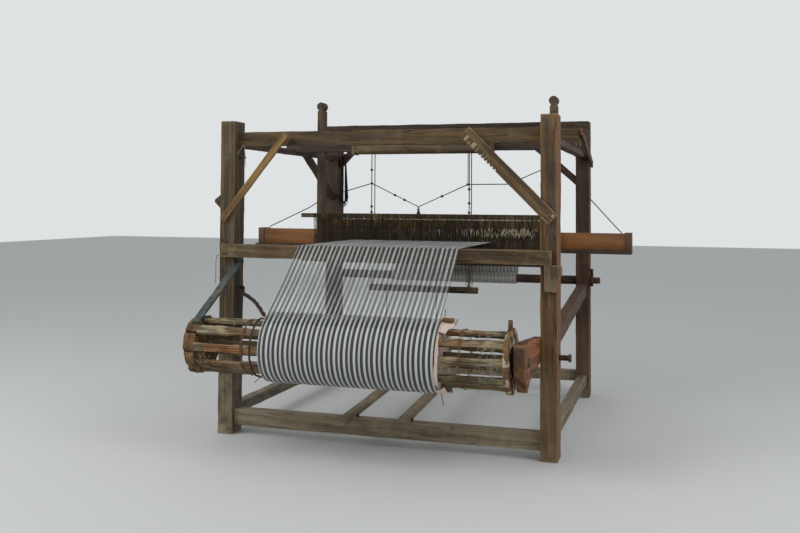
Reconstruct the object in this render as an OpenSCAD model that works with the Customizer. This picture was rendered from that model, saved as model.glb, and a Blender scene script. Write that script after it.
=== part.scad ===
/* [Frame] */
// Overall width over the outer faces of the posts
frame_w = 2044; // [1960:2:2120]
// Clear distance between the near and the far posts, along the warp
bay_d = 1605; // [1560:5:1700]
// Width of a post across the loom
post_w = 95; // [84:1:104]
// Depth of a post along the warp
post_d = 135; // [120:1:150]
// Height of the two posts on the warp beam side
near_post_h = 1890; // [1850:5:2000]
// Height of the two posts on the weaver's side
far_post_h = 1945; // [1905:5:2050]
// Thickness of the plate on the far posts
plate_h = 55; // [40:1:70]
// Length of the stub tenon on a rail
tenon_l = 35; // [20:1:40]
// Shoulder all round a stub tenon
shoulder = 14; // [8:1:18]

/* [Top beams] */
// Underside of the near top beam
near_beam_z = 1738; // [1725:1:1760]
// Height of the near top beam
near_beam_h = 85; // [70:1:100]
// Thickness of the near top beam
near_beam_t = 60; // [50:1:64]
// Set back of the near top beam from the front of the posts
near_beam_y = 48; // [40:1:60]
// Top of the two side rails that carry the sley
side_rail_top = 1770; // [1764:1:1774]
// Height of a side rail
side_rail_h = 36; // [34:1:50]
// Width of a side rail across the loom
side_rail_w = 64; // [50:1:70]

/* [Bottom rails] */
// Underside of the near bottom rail
near_rail_z = 50; // [40:1:70]
// Height of the near bottom rail
near_rail_h = 100; // [80:1:110]
// Thickness of the bottom rails
bottom_rail_t = 62; // [50:1:66]
// Set back of the near bottom rail from the front of the posts
near_rail_y = 30; // [20:1:40]
// Underside of the far bottom rail
far_rail_z = 110; // [90:1:120]
// Height of the far bottom rail
far_rail_h = 75; // [60:1:90]
// Underside of the bottom side rails
side_foot_z = 100; // [90:1:110]
// Height of the bottom side rails
side_foot_h = 64; // [56:1:80]

/* [Braces] */
// Width of the light left brace
brace_left_w = 40; // [30:1:50]
// Width of the notched right brace
brace_right_w = 72; // [60:1:80]
// Thickness of both front braces
brace_t = 22; // [16:1:30]
// Number of notches in the right brace
notch_count = 12; // [8:1:14]
// Distance from notch to notch
notch_pitch = 23; // [20:0.5:24]
// Depth of a notch
notch_d = 9; // [5:0.5:14]

/* [Rest rails] */
// Top of the back rest and of the breast rail, where the warp lies
rest_top = 1144; // [1130:1:1160]
// Height of a rest rail
rest_h = 80; // [60:1:90]
// Thickness of a rest rail
rest_t = 40; // [30:1:50]
// How far a rest rail stops short of the posts' outer faces
rest_inset = 30; // [17:1:42]

/* [Warp beam] */
// Distance of the beam's axis in front of the posts
beam_out = 390; // [370:1:410]
// Height of the beam's axis
beam_z = 600; // [580:1:620]
// Diameter of the beam's axle
axle_d = 58; // [54:1:66]
// Diameter of the axle's journals in the arms
journal_d = 48; // [40:1:52]
// Outer radius of the slat cage
cage_r = 150; // [140:1:156]
// Number of slats
slat_count = 9; // [7:1:10]
// Width of a slat
slat_w = 44; // [36:1:48]
// Thickness of a slat
slat_t = 18; // [14:1:20]
// Radius of the plain disc at the right end
disc_right_r = 168; // [162:1:174]
// Thickness of the right disc
disc_right_t = 25; // [20:1:28]
// Thickness of the built up disc at the left end
disc_left_t = 62; // [50:1:70]
// Radius over the loose blocks of the left disc
disc_left_r = 158; // [157:0.5:160]
// Radius of the wound warp
roll_r = 181; // [176:1:186]
// Width of the wound warp and of the cloth
warp_w = 970; // [880:2:1000]

/* [Sley] */
// Distance of the swords' middle from the front of the near posts
sley_y = 1200; // [1180:1:1220]
// Length of a shuttle box, from its sword to the end of the race board
box_l = 483; // [453:1:513]
// Height of the sley's axis
sley_axis_z = 1840; // [1836:1:1850]
// Distance between a sword and the bearing block outside it
sword_gap = 31; // [27:1:35]
// Width of a sword across the loom
sword_w = 50; // [44:1:54]
// Depth of a sword along the warp
sword_d = 64; // [56:1:68]
// Top of the round heads of the swords
sword_top = 2125; // [2090:5:2160]
// Height of the beam that rocks on the side rails
rocking_h = 120; // [110:1:124]
// Depth of the rocking beam
rocking_d = 100; // [90:1:110]
// Drop of the race below the warp
race_drop = 48; // [47:0.5:52]
// Thickness of the race board
race_t = 28; // [26:1:34]
// Width of the shuttle's path
race_w = 52; // [50:1:56]
// Thickness of the wooden walls of a shuttle box
box_t = 16; // [12:1:18]
// Height of the back wall of a shuttle box
box_h = 108; // [100:1:116]
// Height of the front wall of a shuttle box
box_front_h = 62; // [50:1:70]
// Length of the end block of a shuttle box
box_end_l = 46; // [36:1:56]
// Number of gaps in the reed
dent_count = 104; // [96:2:104]
// Distance from gap to gap in the reed
dent_pitch = 15.5; // [15:0.1:15.5]
// Thickness of a dent
dent_w = 4; // [3:0.5:5]
// Height of the reed
reed_h = 132; // [126:1:140]
// Height of the cap on the reed
cap_h = 48; // [40:1:60]

/* [Shuttle] */
// Length of the shuttle
shuttle_l = 290; // [250:2:300]
// Width of the shuttle
shuttle_w = 42; // [36:1:44]
// Height of the shuttle
shuttle_h = 24; // [20:1:24]
// Diameter of the picker spindles
spindle_d = 9; // [7:0.5:11]
// Length of a picker
picker_l = 34; // [28:1:38]

/* [Heddles] */
// Distance of the roller's axis from the front of the near posts
roller_y = 880; // [860:1:900]
// Diameter of the heddle roller
roller_d = 60; // [54:1:64]
// Length of the heddle roller
roller_l = 930; // [900:2:960]
// Height of the roller's axis
roller_z = 1756; // [1748:1:1760]
// Height of the heddle shafts, from bar to bar
heddle_h = 328; // [300:1:332]
// Length of the heddle bars
heddle_bar_l = 1690; // [1640:2:1700]
// Depth and height of a heddle bar
heddle_bar_s = 28; // [22:1:30]
// Height of the warp threads above the lower heddle bars
eye_h = 150; // [140:1:160]
// Distance of the harness cords from the middle of the loom
cord_x = 337; // [300:1:360]
// Diameter of the harness cords
cord_d = 5; // [4:0.5:6]
// Diameter of the lam rod
lam_d = 42; // [34:1:46]
// Height of the lam rod's axis
lam_z = 830; // [800:1:850]

/* [Treadles] */
// Width of a treadle
treadle_w = 62; // [50:1:70]
// Thickness of a treadle
treadle_t = 24; // [20:1:28]
// Slant of the treadles seen from above, in degrees
treadle_slant = 3.5; // [2:0.1:5]
// End of the treadles towards the weaver
treadle_end_y = 1560; // [1450:5:1640]

/* [Cloth beam] */
// Height of the cloth beam's axis
cloth_beam_z = 840; // [820:1:860]
// Diameter of the cloth beam
cloth_beam_d = 62; // [54:1:70]
// Diameter of the cloth beam's journals
cloth_journal_d = 40; // [34:1:44]
// Radius of the wound cloth
cloth_roll_r = 48; // [44:1:54]
// Tip radius of the ratchet wheel
ratchet_r = 44; // [40:1:48]
// Number of ratchet teeth
tooth_count = 14; // [10:1:18]

/* [Hidden] */
$fn = 48;

fit = 0.05;
gap = 0.3;
tenon_gap = 0.25;
big = 5000;

far_y = post_d + bay_d;
back_y = far_y + post_d;
cloth_t = 1.5;
near_end = -beam_out - roll_r;
far_end = back_y + rest_t + gap + cloth_t;
y_mid = (near_end + far_end) / 2;

inner_x = frame_w / 2 - post_w;
outer_x = frame_w / 2;
post_x = frame_w / 2 - post_w / 2;
rest_l = frame_w - 2 * rest_inset;
warp_z = rest_top + gap;
thread_t = 1.6;
thread_w = 5;
race_z = rest_top - race_drop;
fell_y = sley_y + 145;
far_rail_y = far_y + post_d / 2 - bottom_rail_t / 2;
side_tenon_h = side_foot_h - 2 * shoulder;

wood = "#6b5a3a";
dark_wood = "#4a3826";
light_wood = "#a08a5a";
orange_wood = "#8a5426";
iron = "#3c3a38";
yarn = "#d8d6d0";
string = "#6f6848";

// Moves a piece from the posts' own frame to the middle of the loom's footprint
module place() {
    translate([0, -y_mid, 0]) children();
}

// Box given by its low corner and its high corner
module block(a, b) {
    translate(a) cube([b[0] - a[0], b[1] - a[1], b[2] - a[2]]);
}

// Rod along X between two ends, round the point (y, z)
module rod_x(x0, x1, y, z, d) {
    translate([x0, y, z]) rotate([0, 90, 0]) cylinder(h = x1 - x0, d = d);
}

// Rod along Y between two ends, round the point (x, z)
module rod_y(y0, y1, x, z, d) {
    translate([x, y1, z]) rotate([90, 0, 0]) cylinder(h = y1 - y0, d = d);
}

// Plate between two X values, drawn in (y, z)
module plate_x(x0, x1) {
    translate([x0, 0, 0]) rotate([90, 0, 90]) linear_extrude(x1 - x0) children();
}

// Plate between two Y values, drawn in (x, z)
module plate_y(y0, y1) {
    translate([0, y1, 0]) rotate([90, 0, 0]) linear_extrude(y1 - y0) children();
}

// Both sides of the loom
module both_sides() {
    children();
    mirror([1, 0, 0]) children();
}

function unit(v) = v / norm(v);
function lerp(a, b, t) = a + (b - a) * t;

// Point where a line from p touches the circle round c, on the side that side gives
function tangent_point(c, r, p, side) =
    let (d = p - c, turn = atan2(d[1], d[0]) + side * acos(r / norm(d)))
    c + r * [cos(turn), sin(turn)];

// Outline of a bent strip: the path, and the path again at the distance t to its left
function side_step(path, i, t) =
    let (last = len(path) - 1,
         u = unit(path[max(i, 1)] - path[max(i, 1) - 1]),
         v = unit(path[min(i, last - 1) + 1] - path[min(i, last - 1)]),
         n = unit([-u[1] - v[1], u[0] + v[0]]))
    path[i] + n * t / (n * [-v[1], v[0]]);
function strip(path, t) = concat(path,
    [for (i = [len(path) - 1:-1:0]) side_step(path, i, t)]);

// Tube along chosen points, with one ring at each of them
module tube(points, r, sides = 8) {
    last = len(points) - 1;
    rings = [for (i = [0:last])
        let (u = unit(points[max(i, 1)] - points[max(i, 1) - 1]),
             v = unit(points[min(i, last - 1) + 1] - points[min(i, last - 1)]),
             w = unit(u + v),
             a = unit(abs(w[1]) < 0.9 ? cross(w, [0, 1, 0]) : cross(w, [1, 0, 0])),
             b = cross(w, a))
        for (k = [0:sides - 1]) points[i] + r * (a * cos(k * 360 / sides) + b * sin(k * 360 / sides))];
    walls = [for (i = [0:last - 1]) for (k = [0:sides - 1])
        let (j = (k + 1) % sides)
        [i * sides + k, (i + 1) * sides + k, (i + 1) * sides + j, i * sides + j]];
    near_cap = [for (k = [0:sides - 1]) k];
    far_cap = [for (k = [sides - 1:-1:0]) last * sides + k];
    polyhedron(rings, concat(walls, [near_cap], [far_cap]));
}

// Box of a tenon: the rail's section less a shoulder all round, and larger by slack
module tenon_box(a, b, axis, slack) {
    s = [for (i = [0:2]) i == axis ? 0 : shoulder - slack];
    block([for (i = [0:2]) a[i] + s[i]], [for (i = [0:2]) b[i] - s[i]]);
}

// Rail across the loom with a stub tenon at each end
module cross_rail(y, z, t, h) {
    block([-inner_x, y, z], [inner_x, y + t, z + h]);
    tenon_box([-inner_x - tenon_l + tenon_gap, y, z],
              [inner_x + tenon_l - tenon_gap, y + t, z + h], 0, 0);
}

// Rail along the warp with a stub tenon at each end
module long_rail(x, z, w, h) {
    block([x, post_d, z], [x + w, far_y, z + h]);
    tenon_box([x, post_d - tenon_l + tenon_gap, z],
              [x + w, far_y + tenon_l - tenon_gap, z + h], 1, 0);
}

// Mortises that the rails need in the right-hand posts
module cross_mortise(y, z, t, h) {
    tenon_box([0, y, z], [inner_x + tenon_l, y + t, z + h], 0, tenon_gap);
}

module long_mortise(x, z, w, h) {
    tenon_box([x, post_d - tenon_l, z], [x + w, far_y + tenon_l, z + h], 1, tenon_gap);
}

side_rail_x = post_x - side_rail_w / 2;
foot_rail_x = post_x - bottom_rail_t / 2;
mid_near_z = 600;
mid_far_z = 740;
mid_rail_h = 82;

module side_mortises() {
    long_mortise(side_rail_x, side_rail_top - side_rail_h, side_rail_w, side_rail_h);
    long_mortise(foot_rail_x, side_foot_z, bottom_rail_t, side_foot_h);
}

module near_post() {
    difference() {
        block([inner_x, 0, 0], [outer_x, post_d, near_post_h]);
        cross_mortise(near_beam_y, near_beam_z, near_beam_t, near_beam_h);
        cross_mortise(near_rail_y, near_rail_z, bottom_rail_t, near_rail_h);
        side_mortises();
    }
}

cloth_beam_y = far_y + post_d / 2;

module far_post() {
    difference() {
        block([inner_x, far_y, 0], [outer_x, back_y, far_post_h]);
        cross_mortise(far_rail_y, far_rail_z, bottom_rail_t, far_rail_h);
        side_mortises();
        rod_x(inner_x - 1, outer_x + 1, cloth_beam_y, cloth_beam_z, cloth_journal_d + 2 * fit);
    }
}

module post_near_left() {
    color(wood) place() mirror([1, 0, 0]) near_post();
}

module post_near_right() {
    color(wood) place() difference() {
        near_post();
        mid_rail_tenons(tenon_gap);
    }
}

module post_far_left() {
    color(dark_wood) place() mirror([1, 0, 0]) far_post();
}

module post_far_right() {
    color(dark_wood) place() difference() {
        far_post();
        mid_rail_tenons(tenon_gap);
    }
}

module mid_rail_tenons(slack) {
    tenon_box([foot_rail_x, post_d - tenon_l + tenon_gap - slack, mid_near_z],
              [foot_rail_x + bottom_rail_t, post_d + 1, mid_near_z + mid_rail_h], 1, slack);
    tenon_box([foot_rail_x, far_y - 1, mid_far_z],
              [foot_rail_x + bottom_rail_t, far_y + tenon_l - tenon_gap + slack, mid_far_z + mid_rail_h],
              1, slack);
}

module top_beam_near() {
    color(wood) place() cross_rail(near_beam_y, near_beam_z, near_beam_t, near_beam_h);
}

module top_plate_far() {
    color(dark_wood) place()
        block([-outer_x, far_y, far_post_h], [outer_x, back_y, far_post_h + plate_h]);
}

module side_rails() {
    color(dark_wood) place() both_sides()
        long_rail(side_rail_x, side_rail_top - side_rail_h, side_rail_w, side_rail_h);
}

module bottom_rail_near() {
    color(wood) place() cross_rail(near_rail_y, near_rail_z, bottom_rail_t, near_rail_h);
}

module bottom_rail_far() {
    color(dark_wood) place() cross_rail(far_rail_y, far_rail_z, bottom_rail_t, far_rail_h);
}

module bottom_side_rails() {
    color(wood) place() both_sides()
        long_rail(foot_rail_x, side_foot_z, bottom_rail_t, side_foot_h);
}

// Rail on the right, lower at its near end
module right_mid_rail() {
    color(dark_wood) place() {
        plate_x(foot_rail_x, foot_rail_x + bottom_rail_t)
            polygon([[post_d, mid_near_z], [far_y, mid_far_z], [far_y, mid_far_z + mid_rail_h],
                     [post_d, mid_near_z + mid_rail_h]]);
        mid_rail_tenons(0);
    }
}

brace_foot_x = outer_x - 24;
brace_left_foot_z = 1290;
brace_right_foot_z = 1310;
brace_left_head_x = 588;
brace_right_head_x = 506;
brace_head_z = near_beam_z + near_beam_h - 24;

// Slanted plank in (x, z) from a foot to a head, with its own width
module slanted(foot, head, w) {
    run = head - foot;
    translate(foot) rotate(atan2(run[1], run[0])) translate([0, -w / 2]) square([norm(run), w]);
}

module brace_plan(foot_z, head_x, w) {
    slanted([brace_foot_x, foot_z], [head_x, brace_head_z], w);
}

// The brace stands proud of the set back beam, so a packing piece fills behind its head
module brace_packing(foot_z, head_x, w) {
    plate_y(0, near_beam_y) intersection() {
        brace_plan(foot_z, head_x, w);
        translate([0, near_beam_z]) square([outer_x, near_beam_h]);
    }
}

module knee_brace_left() {
    color(light_wood) place() mirror([1, 0, 0]) {
        plate_y(-brace_t, 0) brace_plan(brace_left_foot_z, brace_left_head_x, brace_left_w);
        brace_packing(brace_left_foot_z, brace_left_head_x, brace_left_w);
    }
}

module knee_brace_right() {
    run = [brace_foot_x - brace_right_head_x, brace_right_foot_z - brace_head_z];
    slant = atan2(run[1], run[0]);
    color(wood) place() {
        plate_y(-brace_t, 0) difference() {
            brace_plan(brace_right_foot_z, brace_right_head_x, brace_right_w);
            translate([brace_right_head_x, brace_head_z]) rotate(slant)
                for (i = [0:notch_count - 1])
                    translate([16 + i * notch_pitch, -brace_right_w / 2 - 1])
                        square([notch_pitch * 0.4, notch_d + 1]);
        }
        brace_packing(brace_right_foot_z, brace_right_head_x, brace_right_w - 2 * notch_d - 4);
    }
}

far_brace_w = 50;
far_brace_t = 40;
far_brace_y = far_y + post_d / 2 - far_brace_t / 2;
side_brace_w = 44;
side_brace_z = 1430;
side_brace_run = 560;
far_brace_right_z = 1548;
far_brace_right_run = 455;
far_brace_left_z = 1680;
far_brace_left_run = 260;
brace_in_post = 20;
brace_over = 10;

// Knee braces from the far posts up to the plate, and one from the left side rail to its far post
module far_braces() {
    color(dark_wood) place() {
        plate_y(far_brace_y, far_brace_y + far_brace_t) intersection() {
            slanted([inner_x + brace_in_post, far_brace_right_z],
                    [inner_x - far_brace_right_run, far_post_h + brace_over], far_brace_w);
            square([inner_x, far_post_h]);
        }
        mirror([1, 0, 0]) plate_y(far_brace_y, far_brace_y + far_brace_t) intersection() {
            slanted([inner_x + brace_in_post, far_brace_left_z],
                    [inner_x - far_brace_left_run, far_post_h + 1.5 * brace_over], far_brace_w);
            square([inner_x, far_post_h]);
        }
        mirror([1, 0, 0]) plate_x(post_x - far_brace_t / 2, post_x + far_brace_t / 2) intersection() {
            slanted([far_y + brace_in_post, side_brace_z],
                    [far_y - side_brace_run, side_rail_top - 4], side_brace_w);
            square([far_y, side_rail_top - side_rail_h]);
        }
    }
}

keeper_t = 16;
keeper_w = 50;
keeper_low = 1690;
keeper_high = 1880;
keeper_past = 60;

module keeper_batten() {
    color(dark_wood) place() plate_x(outer_x, outer_x + keeper_t)
        slanted([back_y + brace_in_post, keeper_low], [sley_y - keeper_past, keeper_high], keeper_w);
}

module rest_rail(y) {
    block([-rest_l / 2, y, rest_top - rest_h], [rest_l / 2, y + rest_t, rest_top]);
}

module back_rest_rail() {
    color(wood) place() rest_rail(-rest_t);
}

module breast_rail() {
    color(wood) place() rest_rail(back_y);
}

block_t = 34;
block_top_h = 58;
block_low_h = 86;

// L-shaped cleat under the right end of the back rest
module rest_block() {
    color(dark_wood) place() plate_y(-block_t, 0) translate([0, rest_top - rest_h]) polygon([
        [outer_x - 70, 0], [outer_x - 70, -block_top_h - block_low_h],
        [outer_x - 6, -block_top_h - block_low_h], [outer_x - 6, -block_top_h],
        [outer_x + 24, -block_top_h], [outer_x + 24, 0]]);
}

arm_t = 54;
arm_left_t = 36;
arm_left_in = 29;
arm_left_x = -inner_x - arm_left_in - arm_left_t;
arm_reach = 128;
arm_nose = beam_out + arm_reach;
arm_edge = 14;
arm_high = 98;
arm_root_high = 55;
arm_root_low = 70;
arm_belly = 150;
arm_mid_low = 104;
arm_tip_low = 40;
arm_point = 30;
arm_bend = 50;

// Side view of an arm: deep and pointed under the axle, and narrow at the post
module arm_profile() {
    difference() {
        polygon([[post_d, beam_z - arm_root_low], [post_d, beam_z + arm_root_high],
                 [-beam_out + 2 * arm_point, beam_z + arm_high - 4],
                 [-arm_nose + arm_edge, beam_z + arm_high], [-arm_nose, beam_z + arm_high - arm_edge],
                 [-arm_nose + 10, beam_z - arm_tip_low], [-beam_out - arm_point, beam_z - arm_belly],
                 [-beam_out + arm_bend, beam_z - arm_mid_low], [0, beam_z - arm_root_low]]);
        translate([-beam_out, beam_z]) circle(d = journal_d + 2 * fit);
    }
}

short_root_low = 110;
short_root_high = 70;
short_high = 50;
short_low = 60;
short_reach = 62;
short_edge = 12;
short_bend = 40;

// Short arm set against the front of the left post, behind the beam's end
module beam_arm_left() {
    color(dark_wood) place() plate_x(arm_left_x, arm_left_x + arm_left_t) difference() {
        polygon([[0, beam_z - short_root_low], [0, beam_z + short_root_high],
                 [-beam_out + short_bend + short_high, beam_z + short_high + short_edge],
                 [-beam_out - short_reach + short_edge, beam_z + short_high],
                 [-beam_out - short_reach, beam_z + short_high - 14],
                 [-beam_out - short_reach + 6, beam_z - short_low],
                 [-beam_out + short_bend, beam_z - short_low - 18]]);
        translate([-beam_out, beam_z]) circle(d = journal_d + 2 * fit);
    }
}

module beam_arm_right() {
    color(orange_wood) place() plate_x(inner_x - arm_t, inner_x) arm_profile();
}

bearing_w = 118;
bearing_half = rocking_d / 2 + 2;
bearing_h = rocking_h;
bearing_x = outer_x - 6 - bearing_w;
rocker_pin_d = 30;
bearing_low = sley_axis_z - bearing_h / 2;

// Blocks on the side rails that hold the pins of the rocking beam
module rocker_bearings() {
    color(wood) place() both_sides() difference() {
        union() {
            block([bearing_x, sley_y - bearing_half, bearing_low],
                  [bearing_x + bearing_w, sley_y + bearing_half, bearing_low + bearing_h]);
            block([side_rail_x, sley_y - bearing_half / 2, side_rail_top],
                  [side_rail_x + side_rail_w, sley_y + bearing_half / 2, bearing_low]);
        }
        rod_x(bearing_x - 1, outer_x + 1, sley_y, sley_axis_z, rocker_pin_d + 2 * fit);
    }
}

bar_h = 46;
bar_d = 72;

bar_y = roller_y + 64;
bar_low = side_rail_top - 20;

// Bar lapped over the side rails, close behind the roller
module harness_bar() {
    color(dark_wood) place() {
        block([-side_rail_x, bar_y, bar_low], [side_rail_x, bar_y + bar_d, bar_low + bar_h]);
        block([-outer_x + 8, bar_y, side_rail_top], [outer_x - 8, bar_y + bar_d, bar_low + bar_h]);
    }
}

cheek_t = 20;
cheek_w = 52;
roller_pin_d = 20;

module roller_cheeks() {
    color(wood) place() both_sides() difference() {
        block([roller_l / 2 + 1, roller_y - cheek_w / 2, roller_z - 32],
              [roller_l / 2 + 1 + cheek_t, bar_y, bar_low + bar_h]);
        rod_x(roller_l / 2, roller_l / 2 + cheek_t + 2, roller_y, roller_z, roller_pin_d + 2 * fit);
    }
}

lever_x = -inner_x + 26;
lever_w = 44;
lever_pin_d = 8;
lever_pin = [22, rest_top - rest_h - 34];
hank_x = -inner_x + 72;
hank_nail_z = 1772;
hank_nail_d = 9;
pawl_pin_d = 8;
pawl_x = outer_x + 4;
ratchet_t = 20;
pawl_pin = [cloth_beam_y - 34, cloth_beam_z + 78];
axle_hole_z = beam_z - 44;

bolt_y = 66;
bolt_l = 66;
bolt_d = 30;
bolt_head_d = 44;
bolt_head_l = 14;
wedge_low = 1358;
wedge_h = 82;
wedge_out = 40;
wedge_near = 48;
wedge_w = 30;
peg_y = 58;
peg_z = 1669;
peg_l = 46;

// Iron nails, the bolt through the right post, and the pegs in the left post
module nails_and_pegs() {
    head = 2.5;
    color(iron) place() {
        for (x = [-post_x + 18, post_x - 18], z = [rest_top - 22, rest_top - rest_h + 22])
            rod_y(-rest_t - head, -rest_t, x, z, 11);
        for (x = [-post_x + 18, post_x - 18], z = [rest_top - 22, rest_top - rest_h + 22])
            rod_y(back_y + rest_t, back_y + rest_t + 1.5, x, z, 11);
        for (rise = [14, 40]) {
            rod_y(-brace_t - head, -brace_t, -brace_foot_x + 6 + 0.6 * rise, brace_left_foot_z + rise, 10);
            rod_y(-brace_t - head, -brace_t, brace_foot_x - 14 - 0.4 * rise, brace_right_foot_z + rise, 10);
        }
        rod_x(outer_x, outer_x + bolt_l - bolt_head_l, bolt_y, axle_hole_z, bolt_d);
        rod_x(outer_x + bolt_l - bolt_head_l, outer_x + bolt_l, bolt_y, axle_hole_z, bolt_head_d);
        plate_y(wedge_near, wedge_near + wedge_w)
            polygon([[-outer_x, wedge_low], [-outer_x, wedge_low + wedge_h],
                     [-outer_x - wedge_out + 4, wedge_low + wedge_h - 26],
                     [-outer_x - wedge_out, wedge_low + wedge_h - 44]]);
        rod_x(-inner_x, -inner_x + peg_l, peg_y, peg_z, 12);
        rod_x(-inner_x, lever_x + lever_w / 2 + 6, lever_pin[0], lever_pin[1], lever_pin_d);
        rod_y(far_brace_y - 52, far_brace_y, hank_x, hank_nail_z, hank_nail_d);
        rod_x(outer_x, pawl_x + ratchet_t + 5, pawl_pin[0], pawl_pin[1], pawl_pin_d);
    }
}

treadle_xs = [-178, 152];
treadle_starts = [-190, -18];
pivot_y = near_rail_y + bottom_rail_t / 2;
treadle_z = near_rail_z + near_rail_h + 2.5;
pivot_z = treadle_z + treadle_t / 2;
hinge_pin_d = 8;
hinge_leg = 9;
hinge_half = treadle_w / 2 / cos(treadle_slant) + 1;

// Iron staples on the near bottom rail, each with a pin through its treadle
module treadle_hinges() {
    color(iron) place() for (x = treadle_xs) {
        rod_x(x - hinge_half, x + hinge_half, pivot_y, pivot_z, hinge_pin_d);
        for (s = [-1, 1])
            block([x + s * (hinge_half + hinge_leg / 2) - hinge_leg / 2, pivot_y - hinge_leg / 2,
                   near_rail_z + near_rail_h],
                  [x + s * (hinge_half + hinge_leg / 2) + hinge_leg / 2, pivot_y + hinge_leg / 2,
                   pivot_z + hinge_pin_d / 2 + 2]);
    }
}

function dent_x(i) = (i - (dent_count - 1) / 2) * dent_pitch;
roll_centre = [-beam_out, beam_z];
warp_corner = [-rest_t - gap, warp_z];
roll_leave = tangent_point(roll_centre, roll_r + gap, warp_corner, 1);
warp_path = [[fell_y, warp_z], warp_corner, roll_leave];

// Warp strands from the roll over the back rest to the fell of the cloth
module warp_threads() {
    color(yarn) place()
        for (i = [0:dent_count - 1])
            if (abs(dent_x(i)) < warp_w / 2 - thread_w / 2)
                plate_x(dent_x(i) - thread_w / 2, dent_x(i) + thread_w / 2)
                    polygon(strip(warp_path, -thread_t));
}

cloth_corner = [back_y + rest_t + gap, warp_z];
cloth_low = [back_y + rest_t + gap, rest_top - rest_h];
cloth_leave = tangent_point([cloth_beam_y, cloth_beam_z], cloth_roll_r + gap, cloth_low, -1);

// Woven cloth from the fell over the breast rail to its roll
module cloth() {
    color(yarn) place() plate_x(-warp_w / 2, warp_w / 2)
        polygon(strip([[fell_y + 0.5, warp_z], cloth_corner, cloth_low, cloth_leave], cloth_t));
}

rope_x = -545;
rope_d = 11;
rope_r = (cage_r + gap + rope_d / 2) / cos(12);
function rope_wrap(a) = [rope_x, -beam_out + rope_r * cos(a), beam_z + rope_r * sin(a)];
rope_points = concat(
    [[-inner_x + gap, 88, 872], [-inner_x + 22, 88, 872], [-inner_x + 60, 20, 846], [-790, -60, 834],
     [-690, -170, 812]],
    [for (a = [72:24:264]) rope_wrap(a)]);

// Rope from the left post round the slats, which holds the beam back
module brake_rope() {
    color(iron) place() tube(rope_points, rope_d / 2);
}

hank_h = 410;
hank_w = 58;
hank_t = 34;

// Hank of old harness cord on its nail
module hung_hank() {
    slot = hank_nail_d + 2 * gap + 6;
    color("#2c2520") place() plate_y(far_brace_y - 6 - hank_t, far_brace_y - 6)
        translate([hank_x, hank_nail_z + hank_nail_d / 2 + gap]) difference() {
            union() {
                translate([0, -hank_h + hank_w]) circle(d = hank_w);
                translate([-hank_w / 2, -hank_h + hank_w]) square([hank_w, hank_h - hank_w - 8]);
                translate([0, -8]) circle(d = hank_w);
            }
            translate([0, -slot / 2]) circle(d = slot);
            translate([-slot / 2, -hank_h + hank_w]) square([slot, hank_h - hank_w - slot / 2]);
        }
}

disc_left_x = -inner_x - 20;
disc_right_x = inner_x - arm_t - 22 - disc_right_t;
slat_r = cage_r - slat_t;
slat_top = sqrt(cage_r * cage_r - slat_w * slat_w / 4);

// Lays a child out round the beam's axis at equal angles
module round_beam(count, first) {
    translate([0, -beam_out, beam_z])
        for (i = [0:count - 1]) rotate([first + i * 360 / count, 0, 0]) children();
}

module beam_axle() {
    color(wood) place() {
        rod_x(disc_left_x, disc_right_x + disc_right_t, -beam_out, beam_z, axle_d);
        rod_x(arm_left_x - 10, disc_left_x, -beam_out, beam_z, journal_d);
        rod_x(disc_right_x + disc_right_t, inner_x + 12, -beam_out, beam_z, journal_d);
    }
}

// Split slats with a rounded back, between the two discs
module beam_slats() {
    color(light_wood) place() round_beam(slat_count, 8)
        plate_x(disc_left_x + disc_left_t, disc_right_x) intersection() {
            circle(r = cage_r);
            translate([-slat_w / 2, slat_r - 4]) square([slat_w, slat_t + 4]);
        }
}

// End view of nine uneven blocks round a core disc
module block_ring(shift) {
    turn = 360 / slat_count;
    translate([-beam_out, beam_z]) difference() {
        union() {
            circle(r = slat_r - 4);
            for (i = [0:slat_count - 1])
                rotate(8 + i * turn) intersection() {
                    circle(r = disc_left_r - 5 * ((i + shift) % 3));
                    polygon([[60, -12], [200, -tan(turn / 2 - 2) * 200], [200, tan(turn / 2 - 3) * 200],
                             [60, 12]]);
                }
        }
        circle(d = axle_d);
    }
}

// Left end built up in two layers
module beam_disc_left() {
    color(wood) place() {
        plate_x(disc_left_x, disc_left_x + 26) block_ring(0);
        plate_x(disc_left_x + 26, disc_left_x + disc_left_t) block_ring(1);
    }
}

peg_h = 42;

// Plain disc with a turning peg on its rim
module beam_disc_right() {
    color(orange_wood) place() {
        difference() {
            rod_x(disc_right_x, disc_right_x + disc_right_t, -beam_out, beam_z, 2 * disc_right_r);
            rod_x(disc_right_x - 1, disc_right_x + disc_right_t + 1, -beam_out, beam_z, axle_d);
        }
        round_beam(1, 6)
            block([disc_right_x + 2, -11, disc_right_r - 3],
                  [disc_right_x + disc_right_t - 2, 11, disc_right_r + peg_h]);
    }
}

module warp_roll() {
    color(yarn) place() difference() {
        rod_x(-warp_w / 2, warp_w / 2, -beam_out, beam_z, 2 * roll_r);
        rod_x(-warp_w / 2 - 1, warp_w / 2 + 1, -beam_out, beam_z, 2 * (cage_r + gap));
    }
}

stick_d = 7;
thick_stick_d = 24;

// Winding sticks laid between the turns, proud of the roll at both ends
module beam_sticks() {
    color(dark_wood) place() for (s = [-1, 1])
        round_beam(5, 20 + 8 * s)
            rod_x(s > 0 ? warp_w / 2 : -warp_w / 2 - 44, s > 0 ? warp_w / 2 + 40 : -warp_w / 2,
                  0, (roll_r + cage_r) / 2, stick_d);
    color(dark_wood) place() round_beam(1, 6)
        rod_x(warp_w / 2, warp_w / 2 + 62, 0, (roll_r + cage_r) / 2, thick_stick_d);
}

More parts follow.
